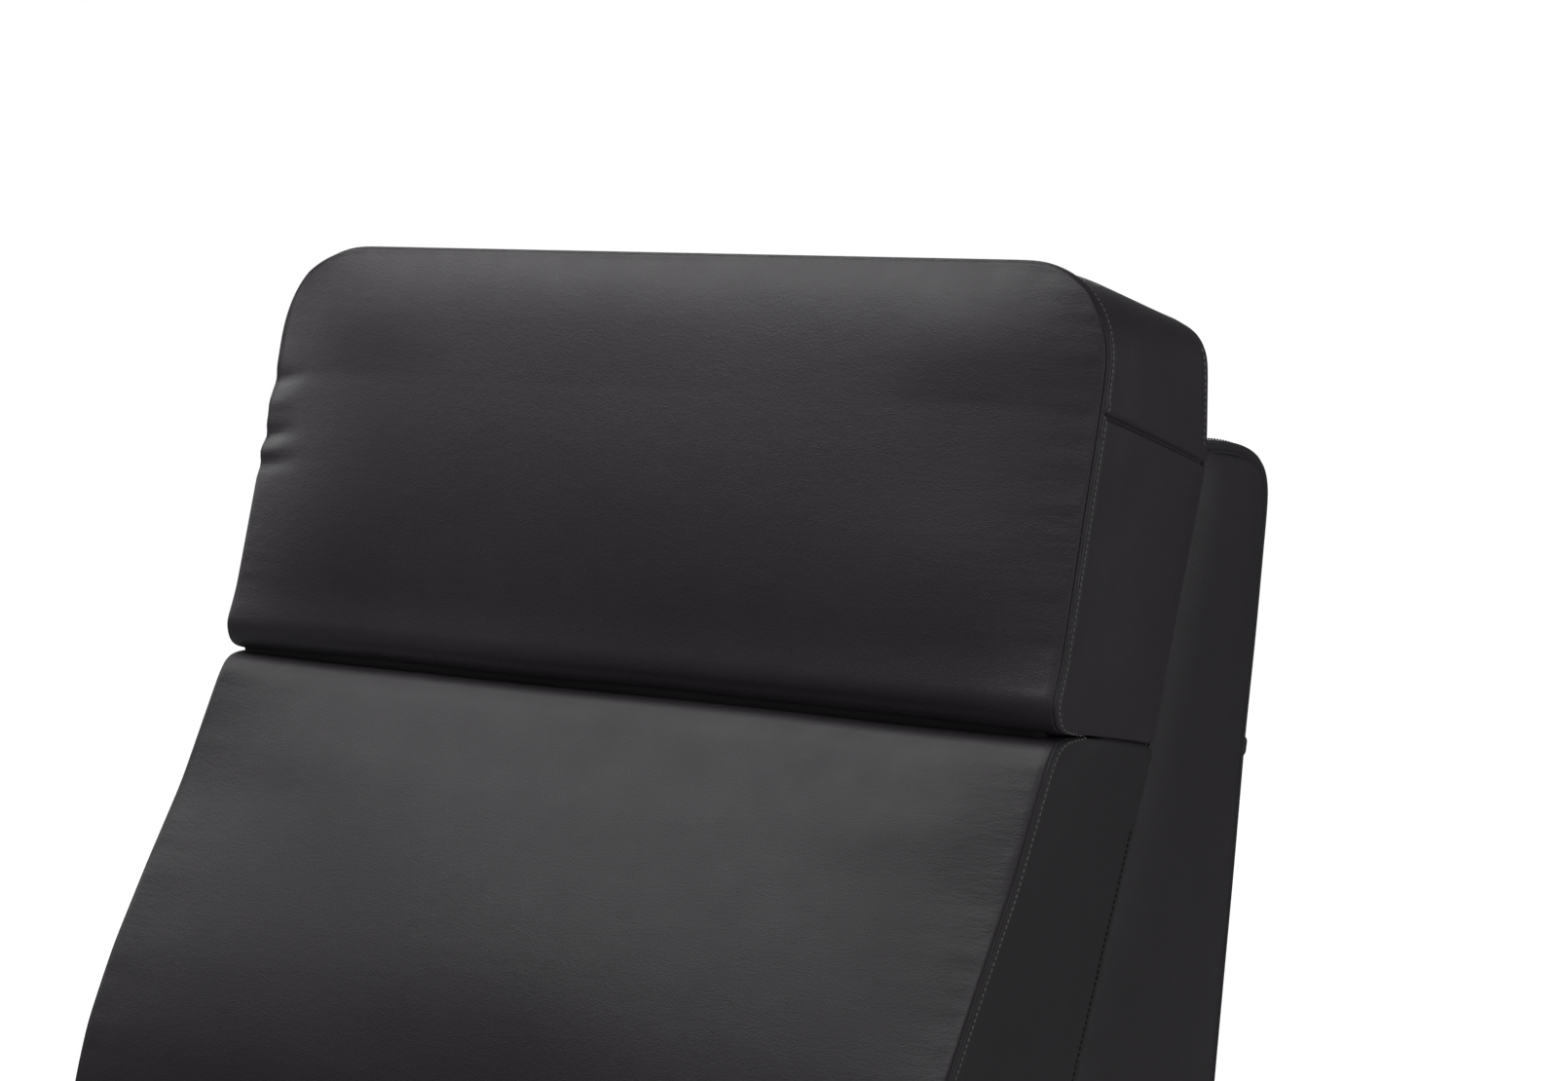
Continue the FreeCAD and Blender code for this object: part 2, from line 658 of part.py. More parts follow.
def carriage_plate():
    """Side plate with a top flange, the front link's pin and the back's pivot pin."""
    low = FRONT_ROLLER[1] - ROLLER_MARGIN
    front = FRONT_PIVOT[0] - CARRIAGE_NOSE
    under = FRONT_PIVOT[1] - CARRIAGE_UNDER
    lever_top = BACK_PIVOT[1] - LEVER_RADIUS + RECLINE_BAR_RADIUS + LEVER_ROOM
    heel = REAR_ROLLER[0] + ROLLER_SIDE
    boss_rear = BACK_PIVOT[0] + PIVOT_BOSS
    boss_top = BACK_PIVOT[1] + PIVOT_BOSS
    boss_front = BACK_PIVOT[0] - PIVOT_BOSS
    corners = [(front, under, CARRIAGE_ROUND), (REAR_PIVOT[0] + LEVER_ROOM, under, CARRIAGE_HOLLOW),
               (FRONT_ROLLER[0] - PIVOT_BOSS, low, TRACK_ROUND), (heel, low, TRACK_ROUND),
               (heel + CARRIAGE_ROUND, lever_top, CARRIAGE_ROUND),
               (boss_front, lever_top + CARRIAGE_ROUND, CARRIAGE_ROUND),
               (boss_rear, BACK_PIVOT[1] - PIVOT_BOSS, PIVOT_BOSS_ROUND),
               (boss_rear - CARRIAGE_ROUND, boss_top, PIVOT_BOSS_ROUND),
               (boss_front, boss_top - CARRIAGE_ROUND, PIVOT_BOSS_ROUND),
               (FLANGE_REAR + CARRIAGE_HOLLOW, FLANGE_Z + PLATE, CARRIAGE_ROUND),
               (front, FLANGE_Z + PLATE, CARRIAGE_ROUND)]
    plate = prism(corners, *CARRIAGE_X)
    flange = box(SEAT_RAIL_INNER, CARRIAGE_X[0], FLANGE_FRONT, FLANGE_REAR, FLANGE_Z, FLANGE_Z + PLATE)
    front_pin = rod_x(FRONT_PIVOT, PIN_RADIUS, LINK_X[0] - HEAD_GAP, CARRIAGE_X[0])
    front_head = rod_x(FRONT_PIVOT, HEAD_RADIUS, LINK_X[0] - HEAD_GAP - HEAD_THICK, LINK_X[0] - HEAD_GAP)
    spacer = rod_x(FRONT_PIVOT, SPACER_RADIUS, LINK_X[1] + HEAD_GAP, CARRIAGE_X[0])
    back_pin = rod_x(BACK_PIVOT, 2 * PIN_RADIUS, CARRIAGE_X[1], BRACKET_X[1])
    solid = plate.fuse([flange, front_pin, front_head, spacer, back_pin])
    return solid.cut(hole(REAR_PIVOT, SPACER_RADIUS + PIN_CLEARANCE, CARRIAGE_X)).removeSplitter()


def glide_rollers():
    one_side = []
    for centre in (FRONT_ROLLER, REAR_ROLLER):
        axle = rod_x(centre, PIN_RADIUS, CARRIAGE_X[1], TRACK_X[0])
        start = TRACK_X[0] - (ROLLER_WIDTH - PLATE) / 2
        wheel = rod_x(centre, ROLLER_RADIUS, start, start + ROLLER_WIDTH)
        one_side.append(axle.fuse(wheel).removeSplitter())
    return both_sides(Part.makeCompound(one_side))


def seat_side_rails():
    rail = box(SEAT_RAIL_INNER, SEAT_RAIL_INNER + SEAT_RAIL_WIDTH, FLANGE_FRONT + SEAT_RAIL_WIDTH,
               FLANGE_REAR - SEAT_RAIL_WIDTH, FLANGE_Z + PLATE, SEAT_RAIL_TOP)
    return both_sides(rail)


def seat_cross_rail(y0):
    reach = SEAT_RAIL_INNER + SEAT_RAIL_WIDTH
    return box(-reach, reach, y0, y0 + SEAT_RAIL_WIDTH, FLANGE_Z + PLATE, SEAT_RAIL_TOP)


def zigzag_spring(x, z, start, end):
    """Sinuous wire from the front rail to the rear one: straight runs across, half turns between."""
    turn = SPRING_PITCH / 2
    points_y = start + SPRING_LEAD
    edges = [Part.LineSegment(V(x, start, z), V(x, points_y - turn, z)).toShape()]
    edges.append(Part.Arc(V(x, points_y - turn, z), V(x + turn * (1 - math.cos(math.pi / 4)),
                          points_y - turn + turn * math.sin(math.pi / 4), z),
                          V(x + turn, points_y, z)).toShape())
    loops = int((end - start - 2 * SPRING_LEAD) / SPRING_PITCH)
    side = 1
    y = points_y
    edges.append(Part.LineSegment(V(x + turn, y, z), V(x + SPRING_REACH, y, z)).toShape())
    for index in range(loops):
        edges.append(Part.Arc(V(x + side * SPRING_REACH, y, z),
                              V(x + side * (SPRING_REACH + turn), y + turn, z),
                              V(x + side * SPRING_REACH, y + SPRING_PITCH, z)).toShape())
        y = y + SPRING_PITCH
        last = index == loops - 1
        stop = side * turn if last else -side * SPRING_REACH
        edges.append(Part.LineSegment(V(x + side * SPRING_REACH, y, z), V(x + stop, y, z)).toShape())
        side = -side
    side = -side
    eighth = turn * (1 - math.cos(math.pi / 4))
    edges.append(Part.Arc(V(x + side * turn, y, z), V(x + side * eighth, y + eighth, z),
                          V(x, y + turn, z)).toShape())
    edges.append(Part.LineSegment(V(x, y + turn, z), V(x, end, z)).toShape())
    path = Part.Wire(edges)
    ring = Part.Wire(Part.makeCircle(SPRING_WIRE, V(x, start, z), V(0, 1, 0)))
    return path.makePipeShell([ring], True, False)


def seat_springs():
    front = FLANGE_FRONT + SEAT_RAIL_WIDTH
    rear = FLANGE_REAR - SEAT_RAIL_WIDTH
    spacing = 2 * SEAT_RAIL_INNER / (SPRING_COUNT + 0.2)
    z = SEAT_RAIL_TOP - SPRING_WIRE - SPRING_DROP
    springs = []
    for index in range(SPRING_COUNT):
        x = (index - (SPRING_COUNT - 1) / 2) * spacing
        springs.append(zigzag_spring(x, z, front, rear))
    return Part.makeCompound(springs)


def gearbox(x, low, high):
    """Gear housing clamped round the drive tube, with its motor can hanging below."""
    y0 = DRIVE_TUBE[0] - GEARBOX_LENGTH / 2
    housing = box(x - GEARBOX_WIDTH / 2, x + GEARBOX_WIDTH / 2, y0, y0 + GEARBOX_LENGTH, low, high)
    uprights = [edge for edge in housing.Edges if edge.BoundBox.ZLength > GEARBOX_ROUND]
    housing = housing.makeFillet(GEARBOX_ROUND, uprights)
    can = Part.makeCylinder(MOTOR_RADIUS, low - MOTOR_BOTTOM, V(x, DRIVE_TUBE[0], MOTOR_BOTTOM), V(0, 0, 1))
    return housing.fuse(can).cut(rod_x(DRIVE_TUBE, TUBE_RADIUS, x - GEARBOX_WIDTH, x + GEARBOX_WIDTH))


# The two positions of each driven pin, counted as the drives see them

RECLINE_BAR = polar(BACK_PIVOT, LEVER_RADIUS, -90 + RECLINE_ANGLE / 2)
RECLINE_BAR_END = polar(BACK_PIVOT, LEVER_RADIUS, -90 - RECLINE_ANGLE / 2)
RECLINE_STROKE = RECLINE_BAR[0] - RECLINE_BAR_END[0]
RECLINE_DIP = LEVER_RADIUS * (1 - math.cos(math.radians(RECLINE_ANGLE / 2)))
RECLINE_ROD_Z = RECLINE_BAR[1] - RECLINE_DIP / 2
RECLINE_TUBE_END = RECLINE_BAR_END[0] - RECLINE_BAR_RADIUS - 2 * EYE_WALL - EYE_HALF_WIDTH
CRANK_PIN = polar(REAR_PIVOT, CRANK_RADIUS, -90 + LINK_SWING / 2)
CRANK_PIN_END = polar(REAR_PIVOT, CRANK_RADIUS, -90 - LINK_SWING / 2)
CRANK_DIP = CRANK_RADIUS * (1 - math.cos(math.radians(LINK_SWING / 2)))
SLIDER_TRAVEL = CRANK_PIN[0] - CRANK_PIN_END[0]


def footrest_motor():
    """Gear housing with a rail that guides the slider."""
    x = CRANK_X
    drive = gearbox(x, GUIDE_LOW - GEARBOX_ROUND, DRIVE_TUBE[1] + GEARBOX_OVER)
    front = CRANK_PIN_END[0] - SLIDER_HALF - ROD_SPARE
    rail = box(x - GUIDE_HALF_WIDTH, x + GUIDE_HALF_WIDTH, front,
               DRIVE_TUBE[0] - GEARBOX_LENGTH / 2, GUIDE_LOW, GUIDE_HIGH)
    return drive.fuse(rail).removeSplitter()


def footrest_slider():
    """Block on the rail with two slotted ears round the crank's pin."""
    x = CRANK_X
    y = CRANK_PIN[0]
    top = CRANK_PIN[1] - CRANK_DIP - LINK_HALF_WIDTH - LINK_GAP
    wide = GUIDE_HALF_WIDTH + SLIDER_WALL
    block = box(x - wide, x + wide, y - SLIDER_HALF, y + SLIDER_HALF, GUIDE_LOW - SLIDER_UNDER, top)
    gap = BORE_CLEARANCE
    tunnel = box(x - GUIDE_HALF_WIDTH - gap, x + GUIDE_HALF_WIDTH + gap, y - SLIDER_HALF - THROUGH,
                 y + SLIDER_HALF + THROUGH, GUIDE_LOW - gap, GUIDE_HIGH + gap)
    block = block.cut(tunnel)
    ears = []
    slots = []
    for side in (-1, 1):
        low_x = x + side * EAR_OFFSET - EAR_THICK / 2
        ears.append(box(low_x, low_x + EAR_THICK, y - EAR_HALF, y + EAR_HALF, top, CRANK_PIN[1] + EAR_HALF))
        slots.append(capsule((y, CRANK_PIN[1]), (y, CRANK_PIN[1] - CRANK_DIP),
                             PIN_RADIUS + SLOT_PLAY, low_x - THROUGH, low_x + EAR_THICK + THROUGH))
    return block.fuse(ears).cut(slots).removeSplitter()


def recline_motor():
    """Gear housing with the tube that the rod draws into."""
    x = RECLINE_X
    drive = gearbox(x, RECLINE_ROD_Z - GEARBOX_UNDER, DRIVE_TUBE[1] + GEARBOX_OVER)
    start = (DRIVE_TUBE[0] + GEARBOX_LENGTH / 2, RECLINE_ROD_Z)
    tube = rod_between(start, (RECLINE_TUBE_END, RECLINE_ROD_Z), ROD_TUBE_RADIUS, x)
    bore = rod_between(plus(start, (BORE_SPARE, 0)), (RECLINE_TUBE_END + THROUGH, RECLINE_ROD_Z),
                       RECLINE_ROD_RADIUS + BORE_CLEARANCE, x)
    return drive.fuse(tube).cut(bore).removeSplitter()


def recline_rod():
    """Rod whose slotted eye holds the recline bar."""
    x = RECLINE_X
    half = RECLINE_BAR_RADIUS + EYE_WALL
    y = RECLINE_BAR[0]
    tall = RECLINE_DIP / 2 + half + EYE_END
    eye = box(x - EYE_HALF_WIDTH, x + EYE_HALF_WIDTH, y - half, y + half,
              RECLINE_ROD_Z - tall, RECLINE_ROD_Z + tall)
    slot = capsule((y, RECLINE_BAR[1]), (y, RECLINE_BAR[1] - RECLINE_DIP), RECLINE_BAR_RADIUS + EYE_PLAY,
                   x - EYE_HALF_WIDTH - THROUGH, x + EYE_HALF_WIDTH + THROUGH)
    tail = DRIVE_TUBE[0] + GEARBOX_LENGTH / 2 + ROD_SPARE + RECLINE_STROKE
    rod = rod_between((tail, RECLINE_ROD_Z), (y - half, RECLINE_ROD_Z), RECLINE_ROD_RADIUS, x)
    return eye.cut(slot).fuse(rod).removeSplitter()


# Footrest linkage

def pinned(centre, x0, x1, head_side):
    """Pin between two planes with a head past one of them."""
    pin = rod_x(centre, PIN_RADIUS, x0, x1)
    if head_side > 0:
        return pin.fuse(rod_x(centre, HEAD_RADIUS, x1, x1 + HEAD_THICK))
    return pin.fuse(rod_x(centre, HEAD_RADIUS, x0 - HEAD_THICK, x0))


def front_link():
    link = capsule(FRONT_PIVOT, FRONT_LINK_END, LINK_HALF_WIDTH, *LINK_X)
    ends = (FRONT_PIVOT, FRONT_LINK_END)
    return link.cut([hole(centre, PIN_RADIUS + PIN_CLEARANCE, LINK_X) for centre in ends])


def rear_link():
    """Main link with an ear for the tilt link; the torque tube runs through its top."""
    link = capsule(REAR_PIVOT, REAR_LINK_END, LINK_HALF_WIDTH, *LINK_X)
    ear = capsule(REAR_LINK_END, CRANK_END, LINK_HALF_WIDTH, *LINK_X)
    web = prism([REAR_LINK_END, CRANK_END, mix(REAR_LINK_END, REAR_PIVOT, 0.55)], *LINK_X)
    holes = [hole(centre, PIN_RADIUS + PIN_CLEARANCE, LINK_X) for centre in (REAR_LINK_END, CRANK_END)]
    holes.append(hole(REAR_PIVOT, SPACER_RADIUS, LINK_X))
    return link.fuse([ear, web]).removeSplitter().cut(holes)


def torque_tube():
    """Tube across the carriage with a journal at each end and the crank for the slider."""
    tube = rod_x(REAR_PIVOT, LINK_HALF_WIDTH, -LINK_X[0], LINK_X[0])
    journal = rod_x(REAR_PIVOT, SPACER_RADIUS, -CARRIAGE_X[1], CARRIAGE_X[1])
    half = CRANK_THICK / 2
    crank = capsule(REAR_PIVOT, CRANK_PIN, LINK_HALF_WIDTH, CRANK_X - half, CRANK_X + half)
    reach = EAR_OFFSET + EAR_THICK / 2 + THROUGH
    pin = rod_x(CRANK_PIN, PIN_RADIUS, CRANK_X - reach, CRANK_X + reach)
    return tube.fuse([journal, crank, pin]).removeSplitter()


def coupler():
    """Bent bar on both links with its three pins."""
    bar = capsule(REAR_LINK_END, FRONT_LINK_END, LINK_HALF_WIDTH, *COUPLER_X)
    arm = capsule(FRONT_LINK_END, FOOTREST_PIVOT, LINK_HALF_WIDTH, *COUPLER_X)
    pins = [pinned(centre, COUPLER_X[1], LINK_X[1] + HEAD_GAP, 1)
            for centre in (REAR_LINK_END, FRONT_LINK_END, FOOTREST_PIVOT)]
    return bar.fuse([arm] + pins).removeSplitter()


def tilt_link():
    """Straight bar from the rear link's ear to the footrest bracket."""
    bar = capsule(CRANK_END, TILT_PIVOT, TILT_LINK_HALF_WIDTH, *COUPLER_X)
    pins = [pinned(centre, COUPLER_X[1], LINK_X[1] + HEAD_GAP, 1) for centre in (CRANK_END, TILT_PIVOT)]
    return bar.fuse(pins).removeSplitter()


def footrest_bracket():
    """Plate on both footrest pins, with a flange on the board."""
    low = FOOTREST_PIVOT[1] - FOOT_BRACKET_DROP
    high = TILT_PIVOT[1] + LINK_HALF_WIDTH
    rear = FOOTREST_PIVOT[0] + LINK_HALF_WIDTH
    toe = FOOTREST_REAR + FOOT_BRACKET_TOE
    corners = [(FOOTREST_REAR, low), (toe, low), (rear, FOOTREST_PIVOT[1] - LINK_HALF_WIDTH, CARRIAGE_ROUND),
               (rear, high, CARRIAGE_ROUND), (FOOTREST_REAR, high)]
    plate = prism(corners, *LINK_X)
    flange = box(LINK_X[0] - FOOT_BRACKET_FLANGE, LINK_X[0], FOOTREST_REAR, FOOTREST_REAR + PLATE, low, high)
    holes = [hole(centre, PIN_RADIUS + PIN_CLEARANCE, LINK_X) for centre in (FOOTREST_PIVOT, TILT_PIVOT)]
    return plate.cut(holes).fuse(flange).removeSplitter()


# Back

def wedge_corners(inset):
    """Closed side view of the wedge behind the cushions, drawn in at its top and rear."""
    rear_shift = inset / math.cos(math.radians(REAR_LEAN))
    bottom = WEDGE_BOTTOM_FRONT[1]
    top = WEDGE_REAR_TOP[1] - inset
    return [WEDGE_BOTTOM_FRONT, (rear_line(bottom) - rear_shift, bottom),
            (rear_line(top) - rear_shift, top, REAR_ROUND - inset),
            (wedge_front(WEDGE_TOP_FRONT[1] - inset) + CUSHION_GAP, WEDGE_TOP_FRONT[1] - inset), WEDGE_KNEE]


def wing():
    return prism(wedge_corners(0.0), *WING_X)


def outer_back_panel():
    """Skin between the wings in convex boards: top, rounded corner, rear, and the narrower skirt's
    wall and two returns, which drop inside the base."""
    x = WING_X[0]
    outside = wedge_corners(0.0)
    shell = prism(outside, -x, x).cut(prism(wedge_corners(REAR_PANEL), -x - THROUGH, x + THROUGH))
    bottom = WEDGE_BOTTOM_FRONT[1]
    corner_y = rear_line(WEDGE_REAR_TOP[1]) - REAR_ROUND - REAR_PANEL / 2
    corner_z = WEDGE_REAR_TOP[1] - REAR_ROUND - REAR_PANEL / 2
    ends = (-x - THROUGH, x + THROUGH)
    wedge_end = WEDGE_REAR_TOP[0] + REAR_ROUND
    top = shell.common(box(*ends, 0, corner_y, corner_z, WEDGE_REAR_TOP[1] + REAR_ROUND))
    top = top.cut(box(*ends, 0, corner_y, bottom - THROUGH, WEDGE_TOP_FRONT[1] - REAR_PANEL - THROUGH))
    corner = shell.common(box(*ends, corner_y, wedge_end, corner_z, WEDGE_REAR_TOP[1] + REAR_ROUND))
    lean = REAR_PANEL / math.cos(math.radians(REAR_LEAN))
    rear = prism([(rear_line(bottom) - lean, bottom), (rear_line(bottom), bottom),
                  (rear_line(corner_z), corner_z), (rear_line(corner_z) - lean, corner_z)], -x, x)
    half = SKIRT_WIDTH / 2
    rear_low = rear_line(SKIRT_BOTTOM)
    rear_top = rear_line(bottom)
    wall = prism([(rear_low - lean, SKIRT_BOTTOM), (rear_low, SKIRT_BOTTOM), (rear_top, bottom),
                  (rear_top - lean, bottom)], -half, half)
    boards = [top, corner, rear, wall]
    for x0 in (-half, half - REAR_PANEL):
        boards.append(prism([(rear_low - lean - SKIRT_RETURN, SKIRT_BOTTOM + SKIRT_SLOPE),
                             (rear_low - lean, SKIRT_BOTTOM), (rear_top - lean, bottom),
                             (rear_top - lean - SKIRT_RETURN, bottom)], x0, x0 + REAR_PANEL))
    return Part.makeCompound(boards)


def outer_back_flap():
    half = WING_X[0] + WING_THICK / 2
    low = FLAP_Z - FLAP_HEIGHT
    return prism([(rear_line(low), low), (rear_line(low) + FLAP_PROUD, low + FLAP_EDGE),
                  (rear_line(FLAP_Z) + FLAP_PROUD, FLAP_Z - FLAP_EDGE), (rear_line(FLAP_Z), FLAP_Z)],
                 -half, half)


def back_post():
    return prism(wedge_corners(REAR_INSET), *POST_X)


def cross_board(low, high, reach):
    """Board across the back, flush with the wedge's front face."""
    corners = [(wedge_front(low), low), (wedge_front(low) + RAIL_THICK, low),
               (wedge_front(high) + RAIL_THICK, high), (wedge_front(high), high)]
    return prism(corners, -reach, reach)


def back_top_rail():
    high = WEDGE_TOP_FRONT[1] - REAR_PANEL - CUSHION_GAP
    low = high - TOP_RAIL_HEIGHT
    front = wedge_front(high) + CUSHION_GAP
    return box(-POST_X[0], POST_X[0], front, front + RAIL_THICK, low, high)


def back_webbing():
    """Elastic bands across the posts, behind the lumbar cushion."""
    low = BOTTOM_RAIL_HIGH + WEBBING_GAP
    room = MIDDLE_RAIL_LOW - low
    tall = WEBBING_HEIGHT * WEBBING_COVER
    bands = []
    for index in range(WEBBING_COUNT):
        z = low + room * (index + 0.5) / WEBBING_COUNT - tall / 2
        near = wedge_front(z) + CUSHION_GAP
        far = wedge_front(z + tall) + CUSHION_GAP
        bands.append(prism([(near, z), (near + WEBBING_THICK, z), (far + WEBBING_THICK, z + tall),
                            (far, z + tall)], -POST_X[0], POST_X[0]))
    return Part.makeCompound(bands)


def back_bracket():
    """Steel lever: pivots on the carriage, carries the post above and the recline bar below."""
    upper = mix(WEDGE_BOTTOM_FRONT, WEDGE_KNEE, 0.2)
    arm = capsule(BACK_PIVOT, plus(upper, (BRACKET_REACH, 0)), BRACKET_HALF_WIDTH, *BRACKET_X)
    lever = capsule(BACK_PIVOT, RECLINE_BAR, RECLINE_BAR_RADIUS + LEVER_WALL, *BRACKET_X)
    low = WEDGE_BOTTOM_FRONT[1] + BRACKET_MARGIN
    high = upper[1] + BRACKET_RISE
    pad = prism([(wedge_front(low) + BRACKET_MARGIN, low, BRACKET_ROUND),
                 (rear_line(low) - BRACKET_FOOT, low, BRACKET_ROUND),
                 (wedge_front(high) + BRACKET_RISE, high, BRACKET_ROUND),
                 (wedge_front(high) + BRACKET_MARGIN, high, BRACKET_ROUND)], *BRACKET_X)
    cushion_room = prism([WEDGE_BOTTOM_FRONT, WEDGE_KNEE, (LUMBAR_BOTTOM_FRONT[0], WEDGE_KNEE[1]),
                          (LUMBAR_BOTTOM_FRONT[0], WEDGE_BOTTOM_FRONT[1])],
                         BRACKET_X[0] - THROUGH, BRACKET_X[1] + THROUGH)
    solid = arm.fuse([lever, pad]).removeSplitter()
    return solid.cut([hole(BACK_PIVOT, 2 * PIN_RADIUS + PIN_CLEARANCE, BRACKET_X), cushion_room])


# Headrest

def head_board_line(share):
    """Point on the cushion's rear face between the knee and the wedge's top."""
    shift = (-CUSHION_GAP, CUSHION_GAP)
    return mix(plus(WEDGE_KNEE, shift), plus(WEDGE_TOP_FRONT, shift), share)


HEAD_LUG = polar(HEAD_AXIS, LUG_RADIUS, -HEAD_TILT)
HEAD_LUG_END = (HEAD_AXIS[0] + LUG_RADIUS, HEAD_AXIS[1])
HEAD_STROKE = math.hypot(HEAD_LUG_END[0] - HEAD_LUG[0], HEAD_LUG_END[1] - HEAD_LUG[1])
HEAD_WAY = unit(minus(HEAD_LUG_END, HEAD_LUG))
HEAD_DIP = LUG_RADIUS * (1 - math.cos(math.radians(HEAD_TILT / 2)))


def head_board_corners():
    low = head_board_line(0.06)
    high = head_board_line(0.9)
    way = unit(minus(high, low))
    inward = (-way[1] * HEAD_BOARD, way[0] * HEAD_BOARD)
    return [low, high, plus(high, inward), plus(low, inward)]


def headrest_frame():
    """Board set in the cushion's rear face, with the lug that the rod pushes."""
    board = prism(head_board_corners(), -HEAD_BOARD_WIDTH / 2, HEAD_BOARD_WIDTH / 2)
    half = LUG_THICK / 2
    top = head_board_line(0.3)
    root = head_board_line(0.1)
    arm = prism([root, plus(HEAD_LUG, (2 - LUG_SIZE, 3)), plus(HEAD_LUG, (0, -LUG_SIZE)),
                 plus(HEAD_LUG, (LUG_SIZE, 0)), top], -half, half)
    slot = capsule(HEAD_LUG, along_edge(HEAD_LUG, HEAD_AXIS, HEAD_DIP), PIN_RADIUS + SLOT_CLEARANCE,
                   -LUG_THICK, LUG_THICK)
    return board.fuse(arm).removeSplitter().cut(slot)


def hinge_outline(clearance):
    """Moving arm from the hinge axis to the board, in the headrest cushion."""
    x0 = HINGE_X - clearance
    x1 = HINGE_X + HINGE_PLATE + clearance
    bend = plus(HEAD_AXIS, ARM_BEND)
    root = head_board_line(0.22)
    way = unit(minus(head_board_line(1.0), head_board_line(0.0)))
    root = (root[0] - way[1] * HEAD_BOARD, root[1] + way[0] * HEAD_BOARD)
    wide = HINGE_HALF_WIDTH + clearance
    return capsule(HEAD_AXIS, bend, wide, x0, x1).fuse(capsule(bend, root, wide, x0, x1)).removeSplitter()


def hinge_arms():
    arm = hinge_outline(0.0).cut(prism(head_board_corners(), 0, POST_X[0]))
    arm = arm.cut(hole(HEAD_AXIS, PIN_RADIUS + PIN_CLEARANCE, (HINGE_X, HINGE_X + HINGE_PLATE)))
    return both_sides(arm)


def leaf_outline(clearance):
    """Fixed leaf from the hinge axis down to the middle rail, in the lumbar cushion."""
    x0 = HINGE_X + HINGE_PLATE + PLATE_GAP - clearance
    x1 = x0 + HINGE_PLATE + 2 * clearance
    bend = plus(HEAD_AXIS, LEAF_BEND)
    root_z = (MIDDLE_RAIL_LOW + MIDDLE_RAIL_HIGH) / 2
    root = (wedge_front(root_z), root_z)
    wide = HINGE_HALF_WIDTH + clearance
    return capsule(HEAD_AXIS, bend, wide, x0, x1).fuse(capsule(bend, root, wide, x0, x1)).removeSplitter()


def hinge_leaves():
    board = cross_board(MIDDLE_RAIL_LOW, MIDDLE_RAIL_HIGH, POST_X[0])
    leaf = leaf_outline(0.0).cut(board)
    pin = rod_x(HEAD_AXIS, PIN_RADIUS, HINGE_X - HEAD_THICK, HINGE_X + HINGE_PLATE + PLATE_GAP)
    return both_sides(leaf.fuse(pin).removeSplitter())


def hinge_pockets():
    """Round room about the hinge axis for the arm, the leaf and the pin's head."""
    end = HINGE_X + 2 * HINGE_PLATE + PLATE_GAP + POCKET_CLEARANCE
    start = HINGE_X - HEAD_THICK - POCKET_CLEARANCE
    return both_sides(rod_x(HEAD_AXIS, HINGE_HALF_WIDTH + POCKET_CLEARANCE, start, end))


def headrest_cushion():
    solid = lofted(BACK_WIDTH / 2, CUSHION_CORNER, headrest_section)
    frame_room = prism(head_board_corners(), -HEAD_BOARD_WIDTH / 2, HEAD_BOARD_WIDTH / 2)
    return solid.cut([frame_room, both_sides(hinge_outline(ARM_CLEARANCE)), hinge_pockets()])


def lumbar_cushion():
    solid = lofted(BACK_WIDTH / 2, CUSHION_CORNER, lumbar_section)
    return solid.cut([both_sides(leaf_outline(ARM_CLEARANCE)), hinge_pockets()])


def head_axis_point(distance):
    """Point on the line of the headrest rod, counted back from its eye."""
    return (HEAD_LUG[0] - HEAD_WAY[0] * distance, HEAD_LUG[1] - HEAD_WAY[1] * distance)


def headrest_rod():
    """Rod with a pin through the lug's slot, held between two cheeks."""
    middle = (BRIDGE_NEAR + BRIDGE_FAR) / 2
    rod = rod_between(head_axis_point(HEAD_ROD_TAIL), head_axis_point(middle), HEAD_ROD_RADIUS, 0)
    half = LUG_THICK / 2
    across = (-HEAD_WAY[1] * BRIDGE_HALF, HEAD_WAY[0] * BRIDGE_HALF)
    base_low = head_axis_point(BRIDGE_FAR)
    base_high = head_axis_point(BRIDGE_NEAR)
    outer = half + CHEEK_GAP + CHEEK_THICK
    bridge = prism([plus(base_low, across), minus(base_low, across), minus(base_high, across),
                    plus(base_high, across)], -outer, outer)
    cheeks = []
    for x0 in (-outer, half + CHEEK_GAP):
        cheeks.append(capsule(base_low, HEAD_LUG, CHEEK_HALF_WIDTH, x0, x0 + CHEEK_THICK))
    pin = rod_x(HEAD_LUG, PIN_RADIUS, -outer, outer)
    return rod.fuse([bridge, pin] + cheeks).removeSplitter()


def headrest_motor():
    """Motor tube on a cross bar between the posts."""
    base = head_axis_point(HEAD_ROD_TAIL + HEAD_STROKE + HEAD_TUBE_SPARE)
    top = head_axis_point(HEAD_TUBE_TOP)
    body = rod_between(base, top, HEAD_MOTOR_RADIUS, 0)
    bore = rod_between(head_axis_point(HEAD_ROD_TAIL + BORE_SPARE), plus(top, HEAD_WAY),
                       HEAD_ROD_RADIUS + BORE_CLEARANCE, 0)
    bar = rod_x(base, HEAD_BAR_RADIUS, -BRACKET_X[0], BRACKET_X[0])
    return body.fuse(bar).cut(bore).removeSplitter()


